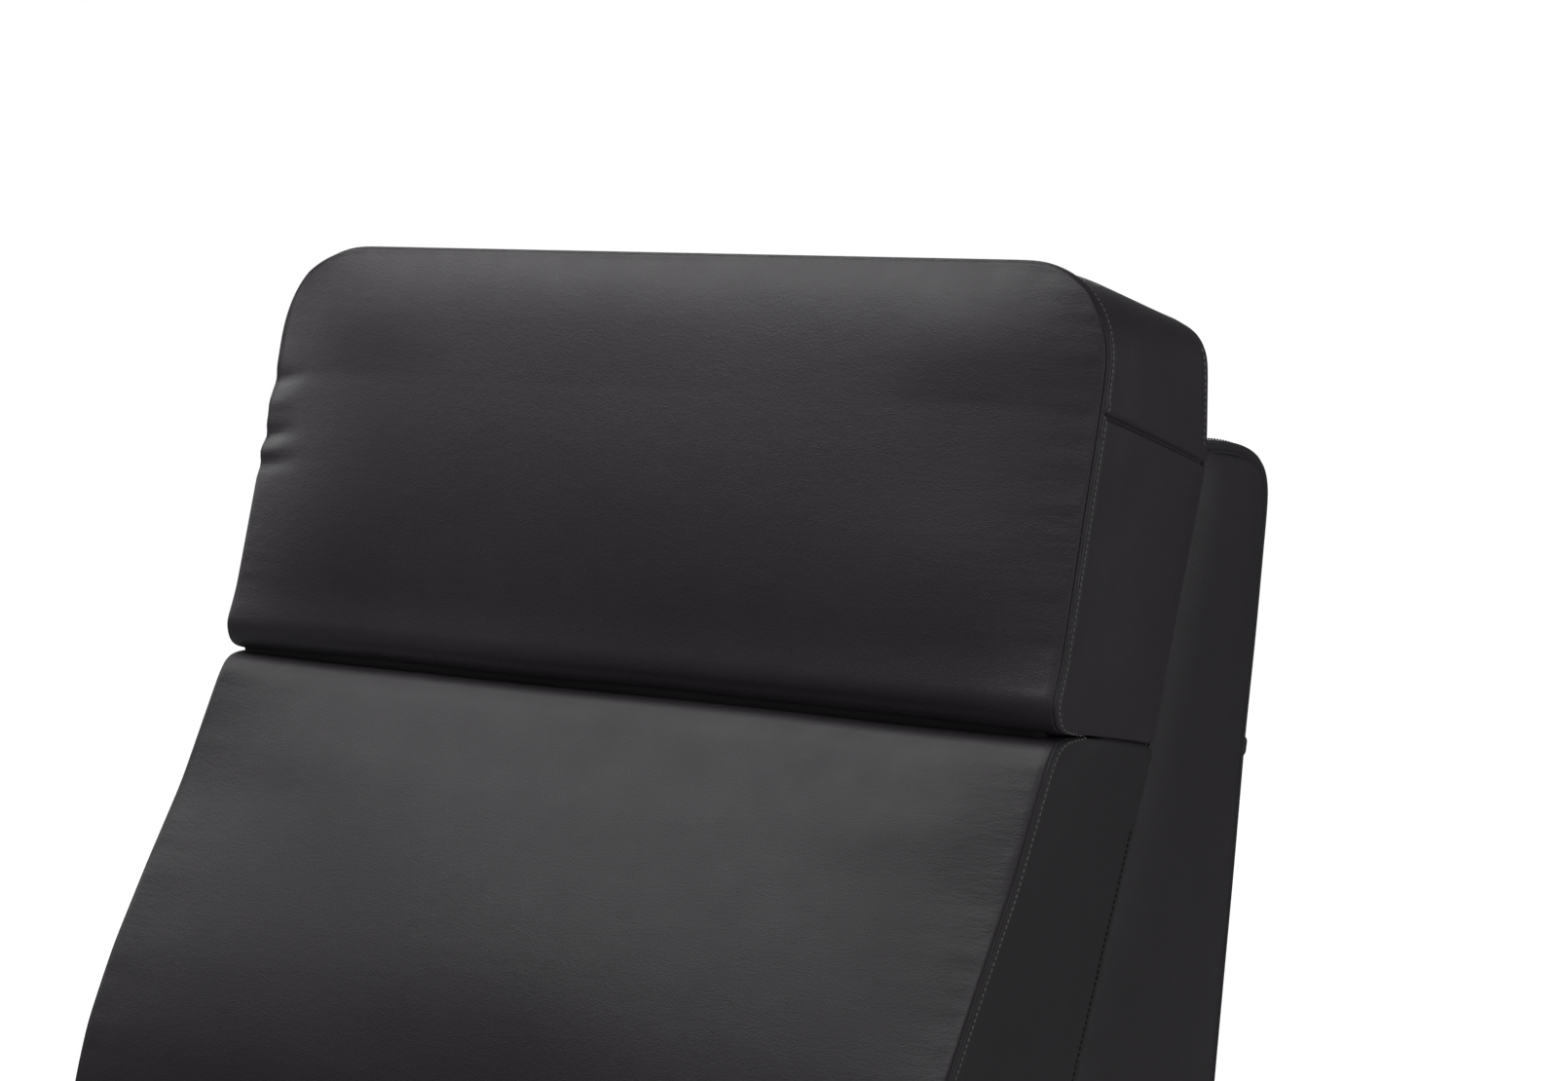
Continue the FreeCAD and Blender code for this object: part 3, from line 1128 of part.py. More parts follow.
def build():
    os.makedirs("parts", exist_ok=True)
    panel = side_panel()
    export("side_panel_left", panel)
    export("side_panel_right", mirrored(panel).cut(panel_block(THROUGH, PANEL_DEPTH)))
    export("front_base_rail", front_base_rail())
    export("rear_base_panel", rear_base_panel())
    export_sides("base_rail", base_rail())
    export_sides("glide_track", glide_track())
    export("front_cross_tube", cross_tube((FRONT_TUBE_Y, BASE_TUBE_Z), SIDE_INNER - ANGLE_WALL))
    export("rear_cross_tube", cross_tube((REAR_TUBE_Y, BASE_TUBE_Z), SIDE_INNER - ANGLE_WALL))
    export("base_feet", base_feet())
    export("power_inlet", power_inlet())
    export("control_panel", control_panel())
    for index, name in enumerate(("footrest_rocker", "recline_rocker", "headrest_rocker")):
        export(name, rocker(index - 1))

    export_sides("carriage_plate", carriage_plate())
    export("glide_rollers", glide_rollers())
    export("seat_side_rails", seat_side_rails())
    export("seat_front_rail", seat_cross_rail(FLANGE_FRONT))
    export("seat_rear_rail", seat_cross_rail(FLANGE_REAR - SEAT_RAIL_WIDTH))
    export("seat_springs", seat_springs())
    export("seat_cushion", lofted(SEAT_WIDTH / 2, SEAT_CORNER, seat_section))
    export("motor_cross_tube", cross_tube(DRIVE_TUBE, CARRIAGE_X[0]))
    export("footrest_motor", footrest_motor())
    export("recline_motor", recline_motor())
    export("recline_rod", recline_rod())
    export("footrest_slider", footrest_slider())

    export("front_links", both_sides(front_link()))
    export_sides("rear_link", rear_link())
    export("torque_tube", torque_tube())
    export_sides("coupler", coupler())
    export("tilt_links", both_sides(tilt_link()))
    export("footrest_brackets", both_sides(footrest_bracket()))
    half = FOOTREST_WIDTH / 2
    board = box(-half + FOOTREST_EDGE, half - FOOTREST_EDGE, FOOTREST_REAR - FOOTREST_BOARD, FOOTREST_REAR,
                FOOTREST_BOTTOM + FOOTREST_EDGE, FOOTREST_TOP - FOOTREST_EDGE)
    export("footrest_board", board)
    export("footrest_cushion", lofted(half, FOOTREST_CORNER, footrest_section))

    export_sides("back_post", back_post())
    export("back_top_rail", back_top_rail())
    export("back_middle_rail", cross_board(MIDDLE_RAIL_LOW, MIDDLE_RAIL_HIGH, POST_X[0]))
    export("back_bottom_rail", cross_board(BOTTOM_RAIL_LOW, BOTTOM_RAIL_HIGH, BRACKET_X[0]))
    export_sides("back_wing", wing())
    export("outer_back_panel", outer_back_panel())
    export("outer_back_flap", outer_back_flap())
    export_sides("back_bracket", back_bracket())
    export("recline_bar", rod_x(RECLINE_BAR, RECLINE_BAR_RADIUS, -BRACKET_X[0], BRACKET_X[0]))
    export("back_webbing", back_webbing())
    export("lumbar_cushion", lumbar_cushion())
    export("headrest_motor", headrest_motor())
    export("headrest_rod", headrest_rod())
    export("headrest_hinge_leaves", hinge_leaves())

    export("headrest_frame", headrest_frame())
    export("headrest_hinge_arms", hinge_arms())
    export("headrest_cushion", headrest_cushion())


build()
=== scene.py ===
import json
import math

import bmesh
import bpy
import numpy as np
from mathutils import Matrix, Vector, noise
from mathutils.bvhtree import BVHTree


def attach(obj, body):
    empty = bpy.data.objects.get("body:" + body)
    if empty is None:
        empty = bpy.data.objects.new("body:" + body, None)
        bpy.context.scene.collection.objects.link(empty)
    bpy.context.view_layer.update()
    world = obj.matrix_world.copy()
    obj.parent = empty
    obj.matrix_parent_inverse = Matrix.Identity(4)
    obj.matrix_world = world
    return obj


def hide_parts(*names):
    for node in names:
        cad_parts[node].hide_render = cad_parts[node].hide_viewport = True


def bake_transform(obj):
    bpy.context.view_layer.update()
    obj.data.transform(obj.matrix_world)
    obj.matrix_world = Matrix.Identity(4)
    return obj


# Sizes and places of the pieces are in millimetres, in the frame of the record, and their meshes in metres.
# Lights and camera are in metres. The chair faces -Y and +X is the sitter's left.

MM = 0.001
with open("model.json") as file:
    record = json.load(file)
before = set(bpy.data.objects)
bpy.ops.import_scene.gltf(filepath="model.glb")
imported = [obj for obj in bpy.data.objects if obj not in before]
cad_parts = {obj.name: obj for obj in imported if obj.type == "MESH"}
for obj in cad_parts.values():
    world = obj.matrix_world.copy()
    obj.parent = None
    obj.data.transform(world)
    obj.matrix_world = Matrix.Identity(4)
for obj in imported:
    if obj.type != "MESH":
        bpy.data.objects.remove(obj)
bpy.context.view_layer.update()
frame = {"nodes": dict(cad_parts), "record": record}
nodes = frame["nodes"]
scene = bpy.context.scene


# Small helpers

SIDES = (("left", 1), ("right", -1))


def mix(a, b, share):
    return a + (b - a) * share


def smooth(value):
    """Eases from 0 to 1 as the value goes from 0 to 1."""
    value = np.clip(value, 0.0, 1.0)
    return value * value * (3 - 2 * value)


def bell(value, width):
    """1 at zero, and about a third one width away."""
    return np.exp(-(value / width) ** 2)


def new_object(name, verts, faces):
    """A smoothly shaded mesh in the scene, its points in metres."""
    mesh = bpy.data.meshes.new(name)
    mesh.from_pydata([tuple(v) for v in verts], [], faces)
    mesh.update()
    piece = bpy.data.objects.new(name, mesh)
    scene.collection.objects.link(piece)
    for polygon in mesh.polygons:
        polygon.use_smooth = True
    return piece


def coordinates(mesh):
    flat = np.zeros(len(mesh.vertices) * 3)
    mesh.vertices.foreach_get("co", flat)
    return flat.reshape(-1, 3)


def normals(mesh):
    flat = np.zeros(len(mesh.vertices) * 3, np.float32)
    mesh.vertices.foreach_get("normal", flat)
    return flat.reshape(-1, 3).astype(float)


def set_coordinates(mesh, points):
    mesh.vertices.foreach_set("co", np.asarray(points, np.float32).ravel())
    mesh.update()


def store(mesh, name, values):
    """Keeps a number for each point under a name."""
    layer = mesh.attributes.get(name) or mesh.attributes.new(name, "FLOAT", "POINT")
    layer.data.foreach_set("value", np.asarray(values, np.float32))


def stored(mesh, name):
    values = np.zeros(len(mesh.vertices), np.float32)
    mesh.attributes[name].data.foreach_get("value", values)
    return values.astype(float)


def baked(piece, levels):
    """Replaces the mesh by its subdivided self, with no modifier left."""
    modifier = piece.modifiers.new("subdivision", "SUBSURF")
    modifier.levels = levels
    modifier.render_levels = levels
    graph = bpy.context.evaluated_depsgraph_get()
    mesh = bpy.data.meshes.new_from_object(piece.evaluated_get(graph))
    piece.modifiers.clear()
    old = piece.data
    piece.data = mesh
    bpy.data.meshes.remove(old)
    mesh.name = piece.name
    for polygon in mesh.polygons:
        polygon.use_smooth = True
    return piece


def face_outwards(mesh):
    """Turns every face of a closed mesh outwards."""
    graph = bmesh.new()
    graph.from_mesh(mesh)
    bmesh.ops.recalc_face_normals(graph, faces=graph.faces)
    graph.to_mesh(mesh)
    graph.free()


NOISE_GAIN = 1.6


def ripple(points, kind, seed):
    """Smooth noise of about -1 to 1 at points. A kind is (cycles per metre on each axis, offset)."""
    scale, offset = kind
    places = points * np.asarray(scale) + (seed + offset)
    return np.array([noise.noise(Vector(p)) for p in places]) * NOISE_GAIN


# Materials

class Nodes:
    """Short way to add and join shader nodes."""

    def __init__(self, name):
        """A new material, mapped by the object's own coordinates."""
        self.material = bpy.data.materials.new(name)
        self.material.use_nodes = True
        self.tree = self.material.node_tree
        self.shader = self.tree.nodes["Principled BSDF"]
        self.place = self.add("ShaderNodeTexCoord").outputs["Object"]

    def add(self, kind, **inputs):
        made = self.tree.nodes.new(kind)
        for key, value in inputs.items():
            made.inputs[key.replace("_", " ")].default_value = value
        return made

    def join(self, start, end):
        self.tree.links.new(start, end)

    def mapped(self, scale):
        mapping = self.add("ShaderNodeMapping")
        mapping.inputs["Scale"].default_value = scale
        self.join(self.place, mapping.inputs["Vector"])
        return mapping.outputs["Vector"]

    def noise(self, scale, detail=3.0, stretch=(1, 1, 1), rough=0.55):
        """Clouds of scale cycles per metre; stretch multiplies the scale on each axis."""
        made = self.add("ShaderNodeTexNoise", Scale=scale, Detail=detail, Roughness=rough)
        self.join(self.mapped(stretch), made.inputs["Vector"])
        return made.outputs["Fac"]

    def cells(self, scale):
        made = self.add("ShaderNodeTexVoronoi", Scale=scale)
        self.join(self.mapped((1, 1, 1)), made.inputs["Vector"])
        return made.outputs["Distance"]

    def bands(self, scale, distortion, direction):
        made = self.add("ShaderNodeTexWave", Scale=scale, Distortion=distortion)
        made.bands_direction = direction
        self.join(self.mapped((1, 1, 1)), made.inputs["Vector"])
        return made.outputs["Fac"]

    def product(self, a, b):
        made = self.add("ShaderNodeMath")
        made.operation = "MULTIPLY"
        self.join(a, made.inputs[0])
        self.join(b, made.inputs[1])
        return made.outputs["Value"]

    def ramp(self, value, stops):
        made = self.add("ShaderNodeValToRGB")
        ramp = made.color_ramp
        while len(ramp.elements) < len(stops):
            ramp.elements.new(0.5)
        for element, (position, colour) in zip(ramp.elements, stops):
            element.position = position
            element.color = (*colour, 1.0)
        self.join(value, made.inputs["Fac"])
        return made.outputs["Color"]

    def span(self, value, low, high):
        """The value from 0 to 1, moved to low to high."""
        made = self.add("ShaderNodeMapRange")
        made.inputs["To Min"].default_value = low
        made.inputs["To Max"].default_value = high
        self.join(value, made.inputs["Value"])
        return made.outputs["Result"]

    def bump(self, height, strength, distance, after=None):
        made = self.add("ShaderNodeBump", Strength=strength, Distance=distance)
        self.join(height, made.inputs["Height"])
        if after is not None:
            self.join(after, made.inputs["Normal"])
        return made.outputs["Normal"]

    def finish(self, colour, rough, normal, metallic=0.0, specular=0.5):
        """Joins everything to the shader and gives the material."""
        self.join(colour, self.shader.inputs["Base Color"])
        self.join(rough, self.shader.inputs["Roughness"])
        self.join(normal, self.shader.inputs["Normal"])
        self.shader.inputs["Metallic"].default_value = metallic
        self.shader.inputs["Specular IOR Level"].default_value = specular
        return self.material


def leather(name, dark, light, rough=(0.40, 0.52)):
    """Smooth leather: pebbled grain, pores, a slow change of tone, and fine creases where it is gathered."""
    make = Nodes(name)
    tone = make.noise(5.0, 4.0)
    colour = make.ramp(tone, [(0.3, dark), (0.7, light)])
    gloss = make.span(make.noise(38.0, 4.0), *rough)
    grain = make.bump(make.cells(1150.0), 0.22, 0.0005)
    pores = make.bump(make.noise(620.0, 3.0), 0.14, 0.0005, grain)
    slow = make.bump(make.noise(60.0, 6.0, (1.0, 1.0, 2.0), 0.62), 0.065, 0.003, pores)
    near = make.add("ShaderNodeAttribute")
    near.attribute_name = "gather"
    creases = make.product(make.noise(150.0, 5.0, (0.3, 0.3, 1.6), 0.65), near.outputs["Fac"])
    return make.finish(colour, gloss, make.bump(creases, 0.30, 0.0022, slow))


def metal(name, dark, light, rough, metallic=1.0, scratch=(1, 1, 1)):
    """Steel with cloudy tone and fine scratches, bare or under paint."""
    make = Nodes(name)
    colour = make.ramp(make.noise(22.0, 5.0), [(0.35, dark), (0.7, light)])
    gloss = make.span(make.noise(180.0, 3.0, scratch), *rough)
    bump = make.bump(make.noise(900.0, 2.0, scratch), 0.08, 0.0004)
    return make.finish(colour, gloss, bump, metallic)


def plastic(name, dark, light, rough):
    """Moulded plastic with a fine spark-eroded texture."""
    make = Nodes(name)
    colour = make.ramp(make.noise(14.0, 3.0), [(0.35, dark), (0.7, light)])
    gloss = make.span(make.noise(120.0, 3.0), *rough)
    texture = make.bump(make.cells(1500.0), 0.12, 0.0003)
    return make.finish(colour, gloss, texture)


def timber(name):
    """Plywood: long grain in three tones, with raised fibres."""
    make = Nodes(name)
    grain = make.noise(9.0, 6.0, (0.35, 3.0, 3.0), 0.65)
    tones = [(0.3, (0.30, 0.17, 0.08)), (0.52, (0.50, 0.32, 0.16)), (0.75, (0.62, 0.44, 0.25))]
    colour = make.ramp(grain, tones)
    gloss = make.span(make.noise(60.0, 4.0), 0.5, 0.7)
    fibres = make.bump(make.noise(70.0, 5.0, (0.15, 3.0, 3.0)), 0.25, 0.001)
    return make.finish(colour, gloss, fibres)


def weave(name, dark, light):
    """Elastic webbing: crossing ribs."""
    make = Nodes(name)
    ribs = make.product(make.bands(190.0, 0.4, "X"), make.bands(150.0, 0.3, "Z"))
    colour = make.ramp(ribs, [(0.1, dark), (0.8, light)])
    gloss = make.span(make.noise(90.0), 0.7, 0.9)
    return make.finish(colour, gloss, make.bump(ribs, 0.6, 0.0008))


HIDE = leather("charcoal_leather", (0.0320, 0.0265, 0.0325), (0.0415, 0.0345, 0.0420))
# A darker, rougher copy of the charcoal leather: painted shade for the side and rear boards and the record's
# leather parts.
SHADED_SIDE_HIDE = leather("charcoal_leather_side", (0.0260, 0.0215, 0.0265), (0.0335, 0.0278, 0.0342),
                    (0.46, 0.58))
# A darker, rougher copy of the charcoal leather for the lumbar: painted shade, so that it sits darker than
# the headrest.
SHADED_LUMBAR_HIDE = leather("charcoal_leather_lower", (0.0235, 0.0195, 0.0240), (0.0305, 0.0253, 0.0310),
                     (0.45, 0.57))
# Near-black leather for the roll in the crease: painted shade of the crease.
CREASE_SHADE_HIDE = leather("welt_leather", (0.004, 0.0038, 0.0042), (0.007, 0.0067, 0.0073), (0.68, 0.8))
THREAD = plastic("grey_thread", (0.20, 0.20, 0.205), (0.30, 0.30, 0.305), (0.55, 0.75))
# Near-black thread: painted shade, standing for the dark stitch holes at the lumbar's rear.
STITCH_HOLE_SHADE = plastic("dark_thread", (0.004, 0.004, 0.004), (0.009, 0.009, 0.009), (0.6, 0.8))
STEEL = metal("painted_steel", (0.018, 0.018, 0.020), (0.034, 0.034, 0.036), (0.38, 0.55), 0.35)
BRIGHT = metal("zinc_steel", (0.42, 0.43, 0.45), (0.62, 0.62, 0.63), (0.22, 0.38), 1.0, (1, 6, 1))
SPRING = metal("spring_steel", (0.16, 0.16, 0.17), (0.30, 0.30, 0.31), (0.25, 0.4), 1.0)
NYLON = plastic("nylon", (0.50, 0.50, 0.48), (0.62, 0.62, 0.60), (0.4, 0.55))
WOOD = timber("frame_plywood")
BLACK = plastic("black_plastic", (0.012, 0.012, 0.013), (0.022, 0.022, 0.023), (0.38, 0.5))
SWITCH = plastic("switch_plastic", (0.05, 0.05, 0.053), (0.075, 0.075, 0.08), (0.3, 0.42))
BANDS = weave("elastic_webbing", (0.03, 0.03, 0.035), (0.16, 0.16, 0.17))

SLOT_MATERIALS = {
    # The record's leather takes the darker copy of the charcoal leather, painted shade.
    "leather": SHADED_SIDE_HIDE,
    "frame_steel": STEEL,
    "bright_steel": BRIGHT,
    "spring_steel": SPRING,
    "nylon": NYLON,
    "frame_wood": WOOD,
    "black_plastic": BLACK,
    "switch_plastic": SWITCH,
    "webbing": BANDS,
}


def paint(piece, material):
    piece.data.materials.clear()
    piece.data.materials.append(material)
    return piece


def dress_nodes():
    """Each CAD node takes the procedural material of its slot in the record."""
    for row in frame["record"]["subparts"]:
        paint(nodes[row["node"]], SLOT_MATERIALS[row["material_slot"]])


# Boxed cushions. A point is given by x, s down the face and d from the face's seam to the rear seam.
# front(s) and rear(s) are side-view curves. A cushion is the ruled space between them, crowned at the face.

# Grid lines, by millimetres from a seam: down the boxing, on a face, round a tucked nose, at a cross seam
# and at a window's edges.
SEAM_ROWS = (0.0, 1.3, 2.6, 3.9, 5.2, 7.2, 11.0, 18.0)
FACE_ROWS = (0.0, 1.6, 3.4, 6.0, 10.0, 16.0, 25.0)
NOSE_ROWS = (-15.0, -11.0, -7.5, -4.5, -2.0, 0.5, 3.0, 6.0, 10.0, 14.0)
CROSS_ROWS = (-4.0, -1.6, 0.0, 1.6, 4.0)
WINDOW_ROWS = (-2.4, -0.8, 0.8, 2.4)
REAR_ROWS = (4.0, 1.5)
CROWDED = 3.0
# Close rows take at most this share of a short face, and of a thin boxing all but the margin or this share.
EDGE_SHARE = 0.35
REAR_MARGIN = 8.0
SEAM_SHARE = 0.8
THICK_BOXING = 60.0


def rows_across(length, marks, pitch):
    """Grid lines from both ends: close at the seams, then at an even pitch."""
    marks = [m for m in marks if m < length * EDGE_SHARE]
    inner = marks[-1]
    count = max(2, round((length - 2 * inner) / pitch))
    middle = [inner + (length - 2 * inner) * i / count for i in range(1, count)]
    return list(marks) + middle + [length - m for m in reversed(marks)]


def with_marks(rows, place, offsets):
    """Adds close rows round a place and drops the rows that they crowd."""
    near = max(abs(o) for o in offsets) + CROWDED
    kept = [r for r in rows if abs(r - place) > near]
    return sorted(kept + [place + o for o in offsets])


def rows_deep(depth, pitch):
    """Grid lines from the face's seam to the rear seam: close at the first, and at both if it is thick."""
    rows = [d for d in SEAM_ROWS if d < max(depth - REAR_MARGIN, depth * SEAM_SHARE)]
    last = rows[-1]
    count = max(2, round((depth - last) / pitch))
    rows += [mix(last, depth, i / count) for i in range(1, count)]
    if depth > THICK_BOXING:
        rows += [depth - gap for gap in REAR_ROWS]
    return rows + [depth]


def round_corner(p, q, radius):
    """Moves a grid point of a square corner into the round one; p and q count from the two edges."""
    if p >= radius or q >= radius:
        return p, q
    u, v = 1 - p / radius, 1 - q / radius
    return radius * (1 - u * math.sqrt(1 - v * v / 2)), radius * (1 - v * math.sqrt(1 - u * u / 2))


def rounded(x, s, width, height, corners):
    """x from -width/2 to width/2 and s from 0 to height, with round corners at the top and bottom."""
    p = width / 2 - abs(x)
    top, bottom = corners
    if s < height / 2:
        p, s = round_corner(p, s, top)
    else:
        p, rest = round_corner(p, height - s, bottom)
        s = height - rest
    return math.copysign(width / 2 - p, x), s


# What each point knows of its place: depth from the face's seam (below zero on the face), x, distance down,
# depth from the rear seam, and distance from the held seams.
FACTS = ("depth", "across", "down", "rear", "slack")
NORMAL_STEP = 2.0


class Cushion:
    """The sizes of one cushion and the mesh made from them.

    corners are radii at the face's top, at the bottom and at the rear's top. rolls say how far in from the
    sides, the top and the bottom the crown has its full height. tucks are the lengths turned in at the top
    and bottom, and flare is the share by which the top is wider.
    """

    def __init__(self, name, width, height, front, rear, corners, crown, rolls, depth, cross_seam=None,
                 pitch=14.0, tucks=(0.0, 0.0), flare=0.0):
        self.name = name
        self.width, self.height, self.depth = width, height, depth
        self.front, self.rear = front, rear
        self.corners, self.crown, self.rolls = corners, crown, rolls
        self.cross_seam = cross_seam
        self.tucks, self.flare = tucks, flare
        self.xs = [a - width / 2 for a in rows_across(width, FACE_ROWS, pitch)]
        self.ss = rows_across(height, FACE_ROWS, pitch)
        if cross_seam is not None:
            self.ss = with_marks(self.ss, cross_seam, CROSS_ROWS)
        if tucks[0]:
            self.ss = with_marks(self.ss, tucks[0], NOSE_ROWS)
        if tucks[1]:
            self.ss = with_marks(self.ss, height - tucks[1], NOSE_ROWS)
        self.ds = rows_deep(depth, pitch)

    def normal(self, s):
        """Outwards from the face, in side view."""
        ya, za = self.front(max(0.0, s - NORMAL_STEP))
        yb, zb = self.front(min(self.height, s + NORMAL_STEP))
        length = math.hypot(yb - ya, zb - za)
        return ((zb - za) / length, -(yb - ya) / length)

    def swell(self, x, s):
        """Height of the crown at a place on the face, nothing at the seams and full beyond the rolls."""
        head, foot = self.tucks
        gaps = (self.width / 2 - abs(x), s - head, self.height - s - foot)
        share = 1.0
        for gap, roll in zip(gaps, self.rolls):
            share *= 1 - (1 - max(0.0, min(1.0, gap / roll))) ** 2.0
        return self.crown * share

    def point(self, x, s, d):
        """Place in metres, with x and s after the corners are rounded."""
        share = d / self.depth
        top, bottom, rear_top = self.corners
        x, s = rounded(x, s, self.width, self.height, (mix(top, rear_top, share), bottom))
        (ya, za), (yb, zb) = self.front(s), self.rear(s)
        y, z = mix(ya, yb, share), mix(za, zb, share)
        if d == 0.0:
            lift = self.swell(x, s)
            out = self.normal(s)
            y, z = y + out[0] * lift, z + out[1] * lift
        widened = x * (1 + self.flare * (1 - s / self.height))
        return (widened * MM, y * MM, z * MM), x, s

    def build(self):
        """Makes the closed mesh: face, rear and the boxing between them, with the facts on its points."""
        xs, ss, ds = self.xs, self.ss, self.ds
        nx, ns, nd = len(xs) - 1, len(ss) - 1, len(ds) - 1
        index, verts, facts = {}, [], []

        def vertex(i, j, k):
            key = (i, j, k)
            if key not in index:
                place, x, s = self.point(xs[i], ss[j], ds[k])
                side = self.width / 2 - abs(xs[i])
                inside = min(side, ss[j], self.height - ss[j])
                slack = min(side, ss[j] - self.tucks[0], self.height - ss[j] - self.tucks[1])
                depth = ds[k] if k > 0 else -inside
                index[key] = len(verts)
                verts.append(place)
                facts.append((depth, x, s, self.depth - ds[k], ds[k] if k > 0 else max(0.0, slack)))
            return index[key]

        def patch(i, j, k):
            return [vertex(*place, k) for place in ((i, j), (i + 1, j), (i + 1, j + 1), (i, j + 1))]

        faces = []
        for i in range(nx):
            for j in range(ns):
                a, b, c, d = patch(i, j, 0)
                faces.append((a, d, c, b))
                faces.append(tuple(patch(i, j, nd)))
        ring = [(i, 0) for i in range(nx)] + [(nx, j) for j in range(ns)]
        ring += [(i, ns) for i in range(nx, 0, -1)] + [(0, j) for j in range(ns, 0, -1)]
        for here, there in zip(ring, ring[1:] + ring[:1]):
            for k in range(nd):
                a, b = vertex(*here, k), vertex(*there, k)
                c, d = vertex(*there, k + 1), vertex(*here, k + 1)
                faces.append((a, b, c, d))
        piece = new_object(self.name, verts, faces)
        facts = np.array(facts)
        for column, key in enumerate(FACTS):
            store(piece.data, key, facts[:, column])
        face_outwards(piece.data)
        self.piece = piece

    def side_lines(self, start, end, d, steps=40):
        """An open line down each side at depth d, from s of start to s of end."""
        lines = []
        for edge in (-self.width / 2, self.width / 2):
            downs = [mix(start, end, i / steps) for i in range(steps + 1)]
            lines.append(([Vector(self.point(edge, s, d)[0]) for s in downs], False))
        return lines

    def face_ring(self, gap):
        """Points of the loop on the face, a gap inside its seam."""
        w, h = self.width / 2 - gap, self.height - gap
        xs = [x for x in self.xs if abs(x) < w]
        ss = [s for s in self.ss if gap < s < h]
        ring = [(-w, gap)] + [(x, gap) for x in xs] + [(w, gap)] + [(w, s) for s in ss]
        ring += [(w, h)] + [(x, h) for x in reversed(xs)] + [(-w, h)] + [(-w, s) for s in reversed(ss)]
        return [Vector(self.point(x, s, 0.0)[0]) for x, s in ring]

    def seam_ring(self, d):
        """Points of the loop round the boxing at depth d, before the cloth settles."""
        xs, ss = self.xs, self.ss
        ring = [(x, 0.0) for x in xs[:-1]] + [(xs[-1], s) for s in ss[:-1]]
        ring += [(x, self.height) for x in reversed(xs[1:])] + [(xs[0], s) for s in reversed(ss[1:])]
        return [Vector(self.point(x, s, d)[0]) for x, s in ring]


class Panel(Cushion):
    """A leather-covered board: spot(u, s) gives y and z on its face, and its depth runs along x.

    window is the low u and s and the high u and s of a recess in the face.
    """

    def __init__(self, name, width, height, spot, face_x, depth, corners, crown, rolls, pitch=20.0,
                 window=None):
        super().__init__(name, width, height, None, None, corners, crown, rolls, depth, pitch=pitch)
        self.spot, self.face_x = spot, face_x
        self.window = window
        if window:
            for u, s in (window[:2], window[2:]):
                self.xs = with_marks(self.xs, u, WINDOW_ROWS)
                self.ss = with_marks(self.ss, s, WINDOW_ROWS)

    def in_window(self, u, s):
        if not self.window:
            return False
        low_u, low_s, high_u, high_s = self.window
        return low_u < u < high_u and low_s < s < high_s

    def point(self, x, s, d):
        u, s = rounded(x, s, self.width, self.height, self.corners[:2])
        y, z = self.spot(u, s)
        lift = self.swell(u, s) if d == 0.0 else -d
        if d == 0.0 and self.in_window(u, s):
            lift = -WINDOW_DEPTH
        x = self.face_x + math.copysign(lift, self.face_x * lift)
        return (x * MM, y * MM, z * MM), u, s


# The cloth run. The cloth is held for the first distance from a seam, and eases to free over the second.
CLOTH_STEPS = 20
CLOTH_STIFFNESS = 18.0
FACE_HELD, FACE_FREE = 4.0, 60.0
REAR_HELD, REAR_FREE = 3.0, 12.0


def settle(cushion, pressure, cap):
    """Fills the cushion: a short cloth run with the seams held, its movement capped in metres."""
    piece = cushion.piece
    rest = coordinates(piece.data)
    slack, rear = stored(piece.data, "slack"), stored(piece.data, "rear")
    held = np.maximum(1 - smooth((slack - FACE_HELD) / FACE_FREE), 1 - smooth((rear - REAR_HELD) / REAR_FREE))
    group = piece.vertex_groups.new(name="held")
    for i, weight in enumerate(held):
        group.add([i], float(weight), "REPLACE")
    cloth = piece.modifiers.new("filling", "CLOTH")
    settings = cloth.settings
    settings.quality = 6
    settings.mass = 0.4
    settings.tension_stiffness = CLOTH_STIFFNESS
    settings.compression_stiffness = CLOTH_STIFFNESS
    settings.shear_stiffness = CLOTH_STIFFNESS * 0.6
    settings.bending_stiffness = 1.5
    settings.use_pressure = True
    settings.uniform_pressure_force = pressure
    settings.vertex_group_mass = "held"
    settings.effector_weights.gravity = 0.0
    cloth.collision_settings.use_collision = False
    for number in range(CLOTH_STEPS):
        scene.frame_set(number + 1)
    graph = bpy.context.evaluated_depsgraph_get()
    moved = coordinates(piece.evaluated_get(graph).to_mesh())
    piece.modifiers.clear()
    piece.vertex_groups.clear()
    step = moved - rest
    length = np.linalg.norm(step, axis=1, keepdims=True)
    step *= np.minimum(1.0, cap / np.maximum(length, 1e-9))
    set_coordinates(piece.data, rest + step)
    scene.frame_set(1)


# Forms beside a seam, each (place, width, height) in millimetres.
# A face's seam has a groove, a rolled strip and a dip at the stitches, going back along the boxing.
STITCH_LINE = 5.8
FACE_SEAM = ((0.0, 0.8, -1.9), (2.9, 1.7, 1.2), (STITCH_LINE, 1.0, -0.5))
# A seam across the boxing has a groove, and fuller leather above it.
CROSS_SEAM = ((0.0, 1.5, -2.2), (-4.5, 2.8, 0.9))
# Noise of each kind: cycles per metre on each axis, and an offset that keeps the kinds apart
SIDE_PUCKERS = ((6, 12, 130), 3.1)
END_PUCKERS = ((95, 12, 8), 7.7)
BOXING_WAVES = ((10, 14, 22), 1.7)
FACE_WAVES = ((7, 7, 9), 5.3)
GATHERS = ((3, 3, 14), 9.4)
BOXING_WAVE = 0.7
# How far from the side seams and the end seams the puckers and the gathered grain fade
PUCKER_SIDE, PUCKER_END = 20.0, 16.0
GATHER_SIDE, GATHER_END = 42.0, 20.0
# Over what distance from a seam the forms of the face and of the boxing set in
FACE_EASE, PUCKER_EASE, GATHER_EASE = 6.0, 9.0, 3.0
BOXING_START, BOXING_EASE, REAR_EASE = 5.0, 30.0, 10.0
CROSS_START, CROSS_EASE = 1.0, 4.0
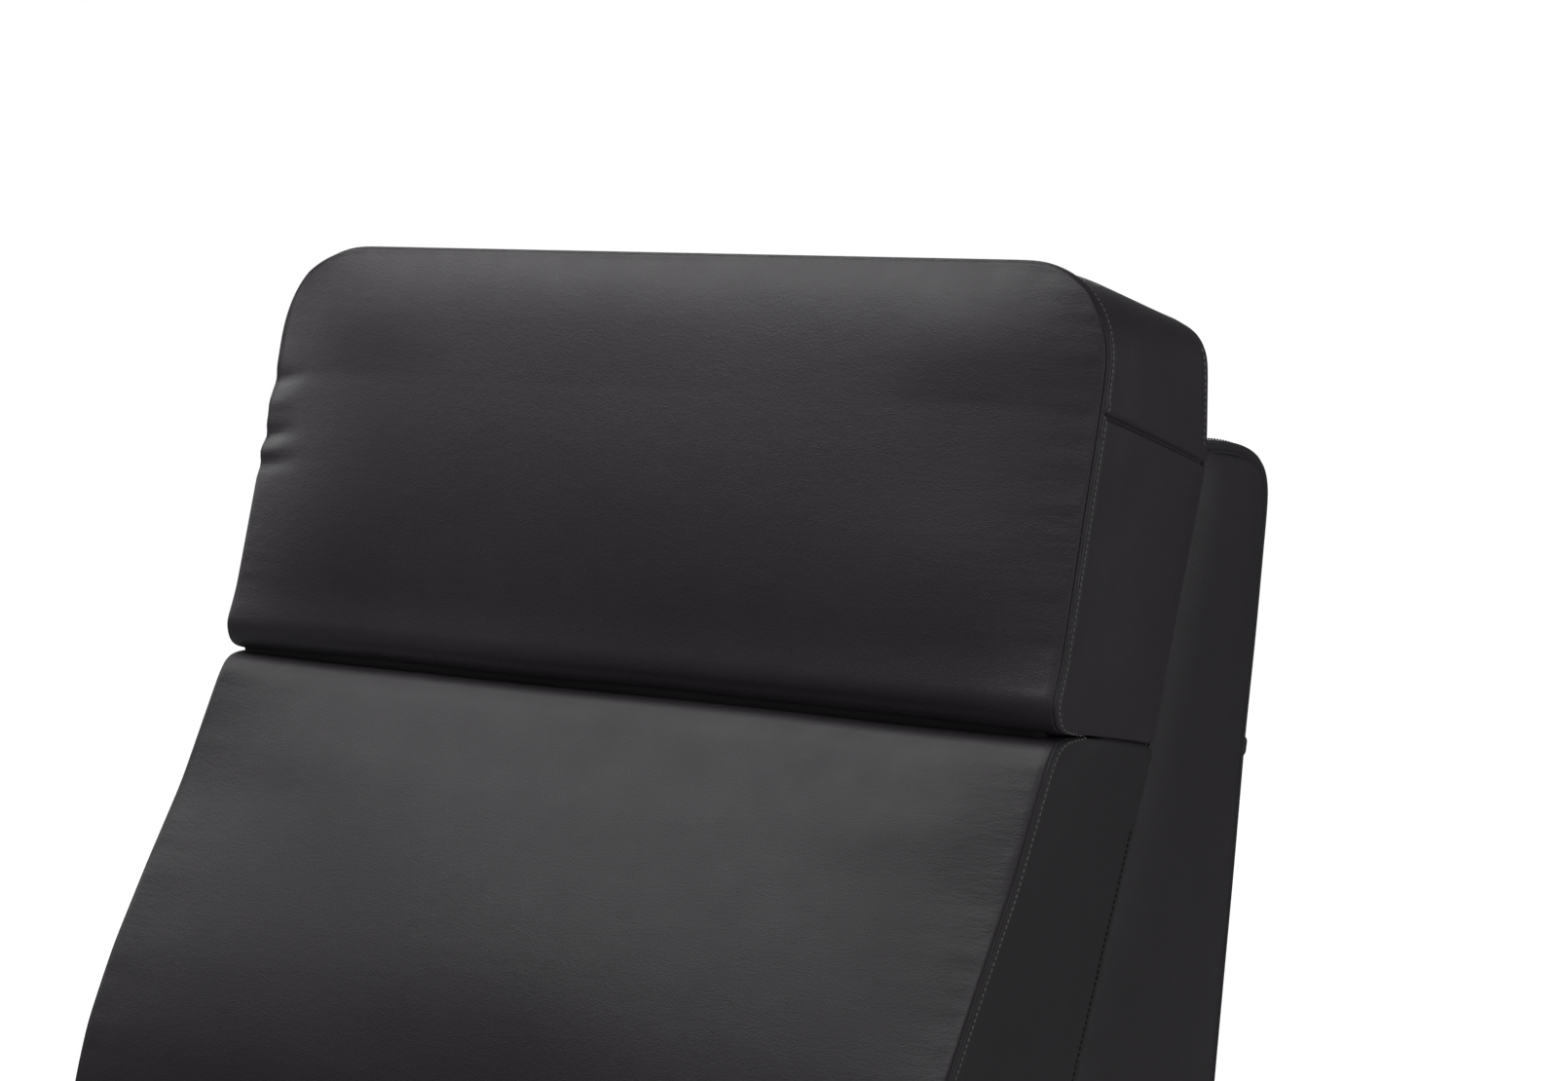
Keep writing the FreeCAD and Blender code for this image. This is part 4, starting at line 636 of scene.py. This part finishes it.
# The dents are in the headrest's edge on the -X side and run in from it, rising or falling by this slope.
DENT_X, DENT_REACH, DENT_SLOPE = -307.0, 60.0, 0.12


def relief(distance, forms):
    """Millimetres outwards at a distance from a seam."""
    return sum(height * bell(distance - place, width) for place, width, height in forms)


def dress(cushion, dents=(), gather=0.4, wave=1.0, seed=0.0, puff=1.2):
    """Subdivides, then adds the seam's form, puckers beside it, slow hollows and the given dents."""
    mesh = baked(cushion.piece, 2).data
    points, out = coordinates(mesh), normals(mesh)
    depth, rear = stored(mesh, "depth"), stored(mesh, "rear")
    across, down = stored(mesh, "across"), stored(mesh, "down")
    side_gap = cushion.width / 2 - np.abs(across)
    end_gap = np.minimum(down, cushion.height - down)
    lift = relief(depth, FACE_SEAM)
    face = smooth(-depth / FACE_EASE)
    puckers = ripple(points, SIDE_PUCKERS, seed) * np.exp(-side_gap / PUCKER_SIDE)
    puckers += ripple(points, END_PUCKERS, seed) * np.exp(-end_gap / PUCKER_END)
    lift += gather * puckers * face * smooth(-depth / PUCKER_EASE)
    boxing = smooth((depth - BOXING_START) / BOXING_EASE) * smooth(rear / REAR_EASE)
    lift += BOXING_WAVE * ripple(points, BOXING_WAVES, seed) * boxing
    lift += wave * ripple(points, FACE_WAVES, seed) * face
    lift += puff * boxing
    for y, z, length, tall, amount in dents:
        gap = points / MM - np.array((DENT_X, y, z))
        slanted = gap[:, 2] - DENT_SLOPE * gap[:, 0]
        lift += amount * bell(gap[:, 0], length) * bell(slanted, tall) * bell(gap[:, 1], DENT_REACH)
    if cushion.cross_seam is not None:
        on_side = smooth((depth - CROSS_START) / CROSS_EASE) * (side_gap < 1.0)
        lift += relief(down - cushion.cross_seam, CROSS_SEAM) * on_side
    set_coordinates(mesh, points + out * lift[:, None] * MM)
    near = np.maximum(np.exp(-side_gap / GATHER_SIDE), np.exp(-end_gap / GATHER_END))
    near *= smooth(-depth / GATHER_EASE)
    store(mesh, "gather", near * (0.5 + 0.5 * ripple(points, GATHERS, seed)))
    for name in FACTS:
        mesh.attributes.remove(mesh.attributes[name])


# Lines along a surface: stitches, and the roll in the crease

def even_points(points, pitch, closed):
    """Points about a pitch apart along a polyline, or round it if it is closed."""
    line = [Vector(p) for p in points]
    if closed:
        line.append(line[0])
    gaps = [(b - a).length for a, b in zip(line, line[1:])]
    total = sum(gaps)
    count = max(2, int(total / pitch))
    places, index, gone = [], 0, 0.0
    for number in range(count):
        want = total * number / count
        while gone + gaps[index] < want:
            gone += gaps[index]
            index += 1
        share = (want - gone) / gaps[index]
        places.append(line[index].lerp(line[index + 1], share))
    return places


STITCH_PITCH = 3.7 * MM
STITCH_LENGTH = 2.5 * MM
STITCH_RADIUS = 0.5 * MM
STITCH_BOW = 0.36
STITCH_SIDES = 6
# Rings of a stitch: (place along its length, share of its radius)
STITCH_RINGS = ((-0.5, 0.35), (-0.32, 0.95), (0.0, 1.0), (0.32, 0.95), (0.5, 0.35))


def stitch(here, there, tree, sink, start):
    """Points and faces of one stitch on the surface of the tree, counted from start."""
    spot, up, _, _ = tree.find_nearest(here)
    along = (there - here).normalized()
    along = (along - up * along.dot(up)).normalized()
    beside = up.cross(along)
    spot = spot + up * STITCH_RADIUS * sink
    verts, faces = [], []
    for reach, size in STITCH_RINGS:
        bow = up * STITCH_RADIUS * STITCH_BOW * (1 - (2 * reach) ** 2)
        centre = spot + along * STITCH_LENGTH * reach + bow
        for k in range(STITCH_SIDES):
            angle = 2 * math.pi * k / STITCH_SIDES
            verts.append(centre + (up * math.sin(angle) + beside * math.cos(angle)) * STITCH_RADIUS * size)
    for ring in range(len(STITCH_RINGS) - 1):
        for k in range(STITCH_SIDES):
            a = start + ring * STITCH_SIDES + k
            b = start + ring * STITCH_SIDES + (k + 1) % STITCH_SIDES
            faces.append((a, b, b + STITCH_SIDES, a + STITCH_SIDES))
    faces.append(tuple(start + k for k in reversed(range(STITCH_SIDES))))
    end = start + (len(STITCH_RINGS) - 1) * STITCH_SIDES
    faces.append(tuple(end + k for k in range(STITCH_SIDES)))
    return verts, faces


def stitched(name, lines, surface, thread=THREAD, sink=0.55):
    """Rows of short stitches laid on a surface. Each line is (points, closed)."""
    graph = bmesh.new()
    graph.from_mesh(surface.data)
    tree = BVHTree.FromBMesh(graph)
    graph.free()
    verts, faces = [], []
    for points, closed in lines:
        places = even_points(points, STITCH_PITCH, closed)
        last = len(places) if closed else len(places) - 1
        for number in range(last):
            there = places[(number + 1) % len(places)]
            new_verts, new_faces = stitch(places[number], there, tree, sink, len(verts))
            verts += new_verts
            faces += new_faces
    return paint(new_object(name, verts, faces), thread)


def tube(name, points, radius, sides):
    """Solid round roll of near-black leather along points; its dark colour is painted shade."""
    line = [Vector(p) for p in points]
    verts, faces = [], []
    for i, p in enumerate(line):
        way = (line[min(i + 1, len(line) - 1)] - line[max(i - 1, 0)]).normalized()
        side = Vector((1, 0, 0)) if abs(way.x) < 0.8 else Vector((0, 0, 1))
        u = way.cross(side).normalized()
        v = way.cross(u)
        for k in range(sides):
            angle = 2 * math.pi * k / sides
            verts.append(p + (u * math.cos(angle) + v * math.sin(angle)) * radius)
    for i in range(len(line) - 1):
        for k in range(sides):
            a, b = i * sides + k, i * sides + (k + 1) % sides
            faces.append((a, b, b + sides, a + sides))
    faces.append(tuple(reversed(range(sides))))
    faces.append(tuple((len(line) - 1) * sides + k for k in range(sides)))
    piece = paint(new_object(name, verts, faces), CREASE_SHADE_HIDE)
    face_outwards(piece.data)
    return piece


# Side-view curves: each gives (y, z) for a share of the way, or for millimetres down a face

def line_curve(points):
    """Curve by share of the way along straight legs."""
    gaps = [math.dist(a, b) for a, b in zip(points, points[1:])]
    total = sum(gaps)

    def at(share):
        want = max(0.0, min(1.0, share)) * total
        for a, b, gap in zip(points, points[1:], gaps):
            if want <= gap:
                return (mix(a[0], b[0], want / gap), mix(a[1], b[1], want / gap))
            want -= gap
        return points[-1]
    return at


def eased(points, steps, passes):
    """Curve along the legs with its corners rounded by repeated averaging."""
    at = line_curve(points)
    line = [at(i / steps) for i in range(steps + 1)]
    for _ in range(passes):
        triples = zip(line, line[1:], line[2:])
        inner = [((a[0] + 2 * b[0] + c[0]) / 4, (a[1] + 2 * b[1] + c[1]) / 4) for a, b, c in triples]
        line = [line[0]] + inner + [line[-1]]
    return line_curve(line)


def keyed(rows):
    """Curve through (share, y, z) rows."""
    shares, ys, zs = zip(*rows)
    return lambda share: (float(np.interp(share, shares, ys)), float(np.interp(share, shares, zs)))


def by_length(curve, height):
    return lambda s: curve(s / height)


def straight(points, height):
    return by_length(line_curve(points), height)


def soft(points, height, steps, passes=3):
    return by_length(eased(points, steps, passes), height)


def run(points):
    return sum(math.dist(a, b) for a, b in zip(points, points[1:]))


# The headrest's face turns under at its foot, and the lumbar's face turns in at its top.
# They meet in the crease.

BACK_CUSHION_DEPTH = 105.0
TUCKED = 38.0

HEAD_WIDTH = 626.0
HEAD_FACE = [(300.0, 1038.0), (279.5, 957.0), (237.0, 812.0), (228.0, 794.0), (232.0, 780.0), (243.0, 776.0),
             (262.0, 774.5)]
HEAD_HEIGHT = run(HEAD_FACE)
HEAD_REAR = [(0.0, 404.5, 1001.0), (0.27, 404.5, 922.0), (0.31, 401.0, 911.0), (1.0, 342.5, 757.5)]
HEAD_SEAM = 87.0

LUMBAR_WIDTH = 620.0
LUMBAR_FACE = [(262.0, 773.0), (241.0, 775.0), (230.0, 772.5), (222.0, 762.0), (185.0, 696.0), (151.5, 648.0),
               (120.0, 600.0), (96.0, 555.0), (82.0, 515.0), (77.0, 470.0), (79.0, 432.0), (84.0, 408.0)]
LUMBAR_HEIGHT = run(LUMBAR_FACE)
LUMBAR_REAR = [(0.0, 341.0, 756.5), (1.0, 184.0, 406.0)]

headrest = Cushion(
    "headrest_cover", HEAD_WIDTH, HEAD_HEIGHT, front=soft(HEAD_FACE, HEAD_HEIGHT, 90),
    rear=by_length(keyed(HEAD_REAR), HEAD_HEIGHT), corners=(62.0, 5.0, 28.0), crown=14.0,
    rolls=(120.0, 60.0, 100.0), depth=BACK_CUSHION_DEPTH, cross_seam=HEAD_SEAM, tucks=(0.0, TUCKED))
lumbar = Cushion(
    "lumbar_cover", LUMBAR_WIDTH, LUMBAR_HEIGHT, front=soft(LUMBAR_FACE, LUMBAR_HEIGHT, 120),
    rear=by_length(keyed(LUMBAR_REAR), LUMBAR_HEIGHT), corners=(5.0, 14.0, 4.0), crown=8.0,
    rolls=(140.0, 80.0, 110.0), depth=BACK_CUSHION_DEPTH, tucks=(TUCKED, 0.0), flare=0.014)

SEAT_WIDTH, SEAT_LENGTH, SEAT_DEPTH = 636.0, 640.0, 110.0
SEAT_FACE = [(61.0, 486.0), (-400.0, 488.0), (-468.0, 486.0), (-478.0, 440.0), (-474.0, 382.0)]
SEAT_UNDERSIDE = [(61.0, 352.0), (-380.0, 352.0), (-431.0, 353.0), (-432.0, 381.0)]
seat = Cushion(
    "seat_cover", SEAT_WIDTH, SEAT_LENGTH, front=soft(SEAT_FACE, SEAT_LENGTH, 40, 6),
    rear=straight(SEAT_UNDERSIDE, SEAT_LENGTH), corners=(30.0, 16.0, 20.0), crown=8.0,
    rolls=(110.0, 70.0, 40.0), depth=SEAT_DEPTH)

REST_ENDS = (372.0, 72.0)
REST_HEIGHT = REST_ENDS[0] - REST_ENDS[1]
REST_FRONT, REST_REAR = -470.0, -434.0
footrest = Cushion(
    "footrest_cover", SEAT_WIDTH, REST_HEIGHT,
    front=straight([(REST_FRONT, z) for z in REST_ENDS], REST_HEIGHT),
    rear=straight([(REST_REAR, z) for z in REST_ENDS], REST_HEIGHT),
    corners=(28.0, 28.0, 28.0), crown=7.0, rolls=(70.0, 50.0, 50.0), depth=REST_REAR - REST_FRONT)

# The outer back: a skin over its rear and top, with a leather panel on each side just inside the skin's edge.

SKIN_WIDTH, SKIN_THICK = 619.0, 7.0
BACK_SKIN = [(411.0, 406.0), (430.5, 540.0), (441.0, 603.0), (450.5, 659.0), (463.5, 744.0), (476.0, 808.0),
             (488.0, 880.0), (490.5, 895.0), (489.5, 905.0), (484.0, 913.0), (473.0, 919.5), (454.0, 925.0),
             (431.0, 928.5), (405.0, 930.5)]
SKIN_HEIGHT = run(BACK_SKIN)
# The skin's inside lies straight in front of its rear, and comes under it from BEND_START upwards.
BEND_START, BEND_RISE = 880.0, 36.0
INSIDE_TOP = [(450.0, 918.0), (430.0, 921.0), (407.0, 922.5)]


def inside_skin(y, z):
    under = max(0.0, min(1.0, (z - BEND_START) / BEND_RISE))
    return y - SKIN_THICK, z - SKIN_THICK * under


SKIN_INSIDE = [inside_skin(y, z) for y, z in BACK_SKIN[:-3]] + INSIDE_TOP
back_skin = Cushion(
    "outer_back_cover", SKIN_WIDTH, SKIN_HEIGHT, front=soft(BACK_SKIN, SKIN_HEIGHT, 120, 2),
    rear=soft(SKIN_INSIDE, SKIN_HEIGHT, 120, 2), corners=(3.0, 3.0, 3.0), crown=5.0,
    rolls=(80.0, 90.0, 60.0), depth=SKIN_THICK, pitch=12.0)

# The tab is a small flap of leather across the skin's rear, at the height of the crease.
TAB_WIDTH, TAB_HEIGHT, TAB_DEPTH = 617.0, 10.4, 7.5
TAB_FACE = [(466.5, 735.0), (469.0, 745.0)]
TAB_INSIDE = [(459.0, 734.5), (461.0, 744.5)]
tab = Cushion(
    "outer_back_tab", TAB_WIDTH, TAB_HEIGHT, front=straight(TAB_FACE, TAB_HEIGHT),
    rear=straight(TAB_INSIDE, TAB_HEIGHT), corners=(2.0, 2.0, 2.0), crown=0.0, rolls=(4.0, 4.0, 4.0),
    depth=TAB_DEPTH, pitch=20.0)

# The skirt hangs below the outer back: a rear board, and two sides that reach forward under the wings.

SKIRT_WIDTH, SKIRT_HEIGHT = 498.0, 103.0
SKIRT = [(395.5, 302.0), (411.0, 404.0)]
SKIRT_INSIDE = [(y - SKIN_THICK, z) for y, z in SKIRT]
SKIRT_LINE = line_curve(SKIRT)
SKIRT_SIDE_WIDTH, SKIRT_SIDE_REACH, SKIRT_SIDE_RISE = 150.0, 155.0, 16.0
skirt = Cushion(
    "back_skirt_cover", SKIRT_WIDTH, SKIRT_HEIGHT, front=straight(SKIRT, SKIRT_HEIGHT),
    rear=straight(SKIRT_INSIDE, SKIRT_HEIGHT), corners=(3.0, 3.0, 3.0), crown=0.0,
    rolls=(20.0, 20.0, 20.0), depth=SKIN_THICK, pitch=20.0)


def skirt_spot(u, s):
    y, z = SKIRT_LINE(1 - s / SKIRT_HEIGHT)
    forward = 0.5 + u / SKIRT_SIDE_WIDTH
    return y - SKIN_THICK - forward * SKIRT_SIDE_REACH, z + SKIRT_SIDE_RISE * forward * (s / SKIRT_HEIGHT)


# The wings: the outer back's side panels, between the cushions' rear line and the skin.

WING_HEIGHT, WING_WIDTH, WING_FACE = 520.0, 130.0, 309.6
WING_FRONT = keyed([(0.0, 407.0, 925.0), (0.03, 405.5, 912.0), (0.31, 343.5, 757.0), (1.0, 186.5, 407.0)])
WING_REAR = keyed([(0.0, 462.0, 916.0), (0.012, 471.0, 912.5), (0.03, 479.0, 906.0), (0.055, 483.8, 896.0),
                   (0.085, 484.0, 884.0), (0.21, 472.6, 808.0), (0.33, 460.6, 744.0), (0.5, 447.6, 659.0),
                   (0.61, 438.6, 603.0), (0.73, 428.2, 540.0), (1.0, 408.6, 407.0)])


def wing_spot(u, s):
    share = 0.5 + u / WING_WIDTH
    (ya, za), (yb, zb) = WING_FRONT(s / WING_HEIGHT), WING_REAR(s / WING_HEIGHT)
    return mix(ya, yb, share), mix(za, zb, share)


# The base: side covers that are lower behind, the left one plain and the right one with the controls' recess.

BASE_MIDDLE, BASE_LENGTH, BASE_HEIGHT, BASE_BOTTOM, BASE_FACE = 2.5, 853.0, 308.0, 36.0, 328.6
BASE_TOP = ([-425.0, 190.0, 318.0, 430.0], [344.0, 344.0, 261.0, 261.0])
BASE_REAR_WIDTH, BASE_REAR_FACE, BASE_REAR_INSIDE = 568.0, 429.0, 406.0
BASE_REAR_ENDS = (41.0, 261.0)
BASE_REAR_HEIGHT = BASE_REAR_ENDS[1] - BASE_REAR_ENDS[0]
WINDOW_DEPTH = 14.0
WINDOW_FRONT, WINDOW_REAR = -250.0, -130.0
WINDOW_TOP, WINDOW_BOTTOM = 29.5, 78.5
CONTROL_WINDOW = (WINDOW_FRONT - BASE_MIDDLE, WINDOW_TOP, WINDOW_REAR - BASE_MIDDLE, WINDOW_BOTTOM)


def base_spot(u, s):
    y = BASE_MIDDLE + u
    return y, mix(float(np.interp(y, *BASE_TOP)), BASE_BOTTOM, s / BASE_HEIGHT)


base_rear = Cushion(
    "base_rear_cover", BASE_REAR_WIDTH, BASE_REAR_HEIGHT,
    front=straight([(BASE_REAR_FACE, z) for z in BASE_REAR_ENDS], BASE_REAR_HEIGHT),
    rear=straight([(BASE_REAR_INSIDE, z) for z in BASE_REAR_ENDS], BASE_REAR_HEIGHT),
    corners=(4.0, 4.0, 4.0), crown=0.6, rolls=(60.0, 60.0, 60.0), depth=BASE_REAR_FACE - BASE_REAR_INSIDE,
    pitch=24.0)

wings, skirt_sides, base_sides = [], [], []
for side, sign in SIDES:
    wings.append(Panel(
        "back_side_cover_" + side, WING_WIDTH, WING_HEIGHT, wing_spot, sign * WING_FACE, depth=23.0,
        corners=(2.0, 3.0, 2.0), crown=4.5, rolls=(38.0, 34.0, 60.0), pitch=14.0))
    skirt_sides.append(Panel(
        "back_skirt_side_" + side, SKIRT_SIDE_WIDTH, SKIRT_HEIGHT, skirt_spot, sign * SKIRT_WIDTH / 2,
        depth=SKIN_THICK, corners=(3.0, 3.0, 3.0), crown=0.0, rolls=(20.0, 20.0, 20.0)))
    base_sides.append(Panel(
        "base_side_cover_" + side, BASE_LENGTH, BASE_HEIGHT, base_spot, sign * BASE_FACE, depth=43.0,
        corners=(10.0, 6.0, 10.0), crown=1.0, rolls=(60.0, 60.0, 60.0), pitch=24.0,
        window=CONTROL_WINDOW if side == "right" else None))

BOARDS = (back_skin, skirt, tab, base_rear, *wings, *skirt_sides, *base_sides)
for item in (headrest, lumbar, seat, footrest, *BOARDS):
    item.build()

settle(headrest, pressure=2.2, cap=0.024)
settle(lumbar, pressure=1.2, cap=0.024)
settle(seat, pressure=2.5, cap=0.014)
settle(footrest, pressure=2.0, cap=0.010)

# Dents in the headrest's left edge and the folds between them: y, z, half length, half height, outwards.
HEAD_DENTS = (
    (266.0, 951.0, 20.0, 6.0, -1.7),
    (262.0, 936.0, 24.0, 6.0, 1.0),
    (258.0, 915.0, 22.0, 5.0, -2.4),
    (252.0, 905.0, 22.0, 5.0, 1.0),
    (250.0, 896.0, 26.0, 5.0, -1.6),
)
dress(headrest, HEAD_DENTS, seed=0.0)
dress(lumbar, seed=20.0)
dress(seat, seed=40.0, gather=0.6)
dress(footrest, seed=60.0, gather=0.5)
for number, item in enumerate(BOARDS):
    dress(item, seed=80.0 + 7 * number, gather=0.15, wave=0.5, puff=0.0)


# Covers, stitches and what they ride on

BOARD_STITCH_GAP = 9.0
# Lines of stitches down the rear of the boxing: start, end, depth from the face's seam
HEAD_REAR_LINE = (16.0, HEAD_SEAM - 3.0, 99.0)
LUMBAR_REAR_LINE = (60.0, 400.0, 100.5)
REAR_LINE_STEPS = 80


def carried(piece, body):
    """Leather that rides on a body, parented to its empty. What is on the headrest is left unparented, its
    place baked into the mesh.
    """
    if body == "headrest":
        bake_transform(piece)
    else:
        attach(piece, body)


def cover_cushion(item, material, body, node, label, more_lines=()):
    """Cover of a cushion, with a row of topstitching on the boxing beside the face's seam."""
    cover = paint(item.piece, material)
    lines = [(item.seam_ring(STITCH_LINE), True), *more_lines]
    seam = stitched(label + "_topstitch", lines, cover)
    carried(cover, body)
    carried(seam, body)
    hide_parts(node)


more_lines = headrest.side_lines(*HEAD_REAR_LINE)
cover_cushion(headrest, HIDE, "headrest", "headrest_cushion", "headrest", more_lines)
# The lumbar takes the darker copy of the charcoal leather, painted shade.
cover_cushion(lumbar, SHADED_LUMBAR_HIDE, "back", "lumbar_cushion", "lumbar")
cover_cushion(seat, HIDE, "carriage", "seat_cushion", "seat")
cover_cushion(footrest, HIDE, "footrest", "footrest_cushion", "footrest")

# Sunk near-black stitches down the lumbar's rear: painted shade of the stitch holes.
rear_lines = lumbar.side_lines(*LUMBAR_REAR_LINE, REAR_LINE_STEPS)
carried(stitched("lumbar_rear_stitches", rear_lines, lumbar.piece, thread=STITCH_HOLE_SHADE, sink=0.1), "back")

for item in (*base_sides, back_skin):
    body = "back" if item is back_skin else "base"
    name = body + "_topstitch_" + item.name.rsplit("_", 1)[1]
    lines = [(item.face_ring(BOARD_STITCH_GAP), True)]
    carried(stitched(name, lines, item.piece, sink=0.3), body)

# A roll of leather round the hinge line closes the crease and stays in place as the headrest tilts. Its
# near-black colour is painted shade of the crease.
CREASE_Y, CREASE_Z = 245.0, 778.0
CREASE_END, CREASE_RADIUS, CREASE_RINGS = 303.0, 9.0, 60
roll_xs = np.linspace(-CREASE_END, CREASE_END, CREASE_RINGS)
roll_line = [(x * MM, CREASE_Y * MM, CREASE_Z * MM) for x in roll_xs]
carried(tube("crease_roll", roll_line, CREASE_RADIUS * MM, sides=24), "back")

BOARD_NODES = {
    "outer_back_cover": "outer_back_panel",
    "outer_back_tab": "outer_back_flap",
    "base_rear_cover": "rear_base_panel",
}
for side, _ in SIDES:
    BOARD_NODES["back_side_cover_" + side] = "back_wing_" + side
    BOARD_NODES["base_side_cover_" + side] = "side_panel_" + side
# Every board takes the darker copy of the charcoal leather, painted shade.
for item in BOARDS:
    carried(paint(item.piece, SHADED_SIDE_HIDE), "base" if item.name.startswith("base") else "back")
    if item.name in BOARD_NODES:
        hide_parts(BOARD_NODES[item.name])

dress_nodes()


# Stage, light and camera

FLOOR_HALF = 30.0
FLOOR_DROP = 0.0005
FLOOR_GLOW = 0.965
WORLD_FILL = 0.10
WORLD_SEEN = 1.0
WHITE = (1, 1, 1, 1)
CAMERA_PLACE = (1.3258, -1.4768, 1.1019)
CAMERA_AZIMUTH = 35.0
CAMERA_PITCH = 6.2
CAMERA_LENS = 83.0
# Softboxes: name, place, target, size and watts
LIGHTS = (
    ("front_softbox", (-1.15, -0.6, 3.05), (0, 0.25, 0.9), (2.2, 1.7), 38.5),
    ("side_softbox", (2.8, 1.4, 1.3), (0, 0.3, 0.7), (1.6, 2.0), 12.0),
    ("right_front_softbox", (1.9, -1.9, 1.9), (0.3, 0.2, 0.8), (1.0, 1.0), 10.0),
    ("left_softbox", (-2.6, 0.3, 1.7), (-0.2, 0.3, 0.95), (1.0, 1.0), 9.0),
    ("rear_softbox", (-1.6, 2.6, 2.4), (0, 0.4, 0.6), (1.8, 1.4), 22.0),
)


def make_stage():
    """Pale floor. It glows for the camera alone, so that it lights nothing."""
    outline = [(-FLOOR_HALF, -FLOOR_HALF, 0), (FLOOR_HALF, -FLOOR_HALF, 0),
               (FLOOR_HALF, FLOOR_HALF, 0), (-FLOOR_HALF, FLOOR_HALF, 0)]
    floor = new_object("floor", outline, [(0, 1, 2, 3)])
    make = Nodes("pale_floor")
    colour = make.ramp(make.noise(3.0, 2.0), [(0.3, (0.40, 0.40, 0.40)), (0.7, (0.42, 0.42, 0.42))])
    gloss = make.span(make.noise(5.0), 0.7, 0.8)
    paint(floor, make.finish(colour, gloss, make.bump(make.noise(40.0), 0.02, 0.001), specular=0.2))
    glow = make.add("ShaderNodeEmission", Strength=FLOOR_GLOW)
    dark = make.add("ShaderNodeEmission", Strength=0.0)
    seen = make.add("ShaderNodeMixShader")
    both = make.add("ShaderNodeAddShader")
    make.join(make.add("ShaderNodeLightPath").outputs["Is Camera Ray"], seen.inputs[0])
    make.join(dark.outputs[0], seen.inputs[1])
    make.join(glow.outputs[0], seen.inputs[2])
    make.join(seen.outputs[0], both.inputs[0])
    make.join(make.shader.outputs[0], both.inputs[1])
    make.join(both.outputs[0], make.tree.nodes["Material Output"].inputs["Surface"])
    floor.location.z = -FLOOR_DROP


def area_light(name, place, target, size, power):
    data = bpy.data.lights.new(name, "AREA")
    data.shape = "RECTANGLE"
    data.size, data.size_y = size
    data.energy = power
    lamp = bpy.data.objects.new(name, data)
    lamp.location = place
    lamp.rotation_euler = (Vector(target) - Vector(place)).to_track_quat("-Z", "Y").to_euler()
    scene.collection.objects.link(lamp)


def make_world():
    """White where the camera sees it, and a faint fill light for the rest."""
    world = bpy.data.worlds.new("studio")
    scene.world = world
    world.use_nodes = True
    tree = world.node_tree
    fill = tree.nodes["Background"]
    fill.inputs["Color"].default_value = WHITE
    fill.inputs["Strength"].default_value = WORLD_FILL
    bright = tree.nodes.new("ShaderNodeBackground")
    bright.inputs["Color"].default_value = WHITE
    bright.inputs["Strength"].default_value = WORLD_SEEN
    path = tree.nodes.new("ShaderNodeLightPath")
    blend = tree.nodes.new("ShaderNodeMixShader")
    tree.links.new(path.outputs["Is Camera Ray"], blend.inputs[0])
    tree.links.new(fill.outputs[0], blend.inputs[1])
    tree.links.new(bright.outputs[0], blend.inputs[2])
    tree.links.new(blend.outputs[0], tree.nodes["World Output"].inputs["Surface"])


def make_camera():
    data = bpy.data.cameras.new("photo_camera")
    data.sensor_width = 36.0
    data.lens = CAMERA_LENS
    camera = bpy.data.objects.new("photo_camera", data)
    camera.location = CAMERA_PLACE
    camera.rotation_euler = (math.radians(90 - CAMERA_PITCH), 0, math.radians(CAMERA_AZIMUTH))
    scene.collection.objects.link(camera)
    scene.camera = camera


make_stage()
make_world()
for light in LIGHTS:
    area_light(*light)
make_camera()
scene.view_settings.view_transform = "Standard"
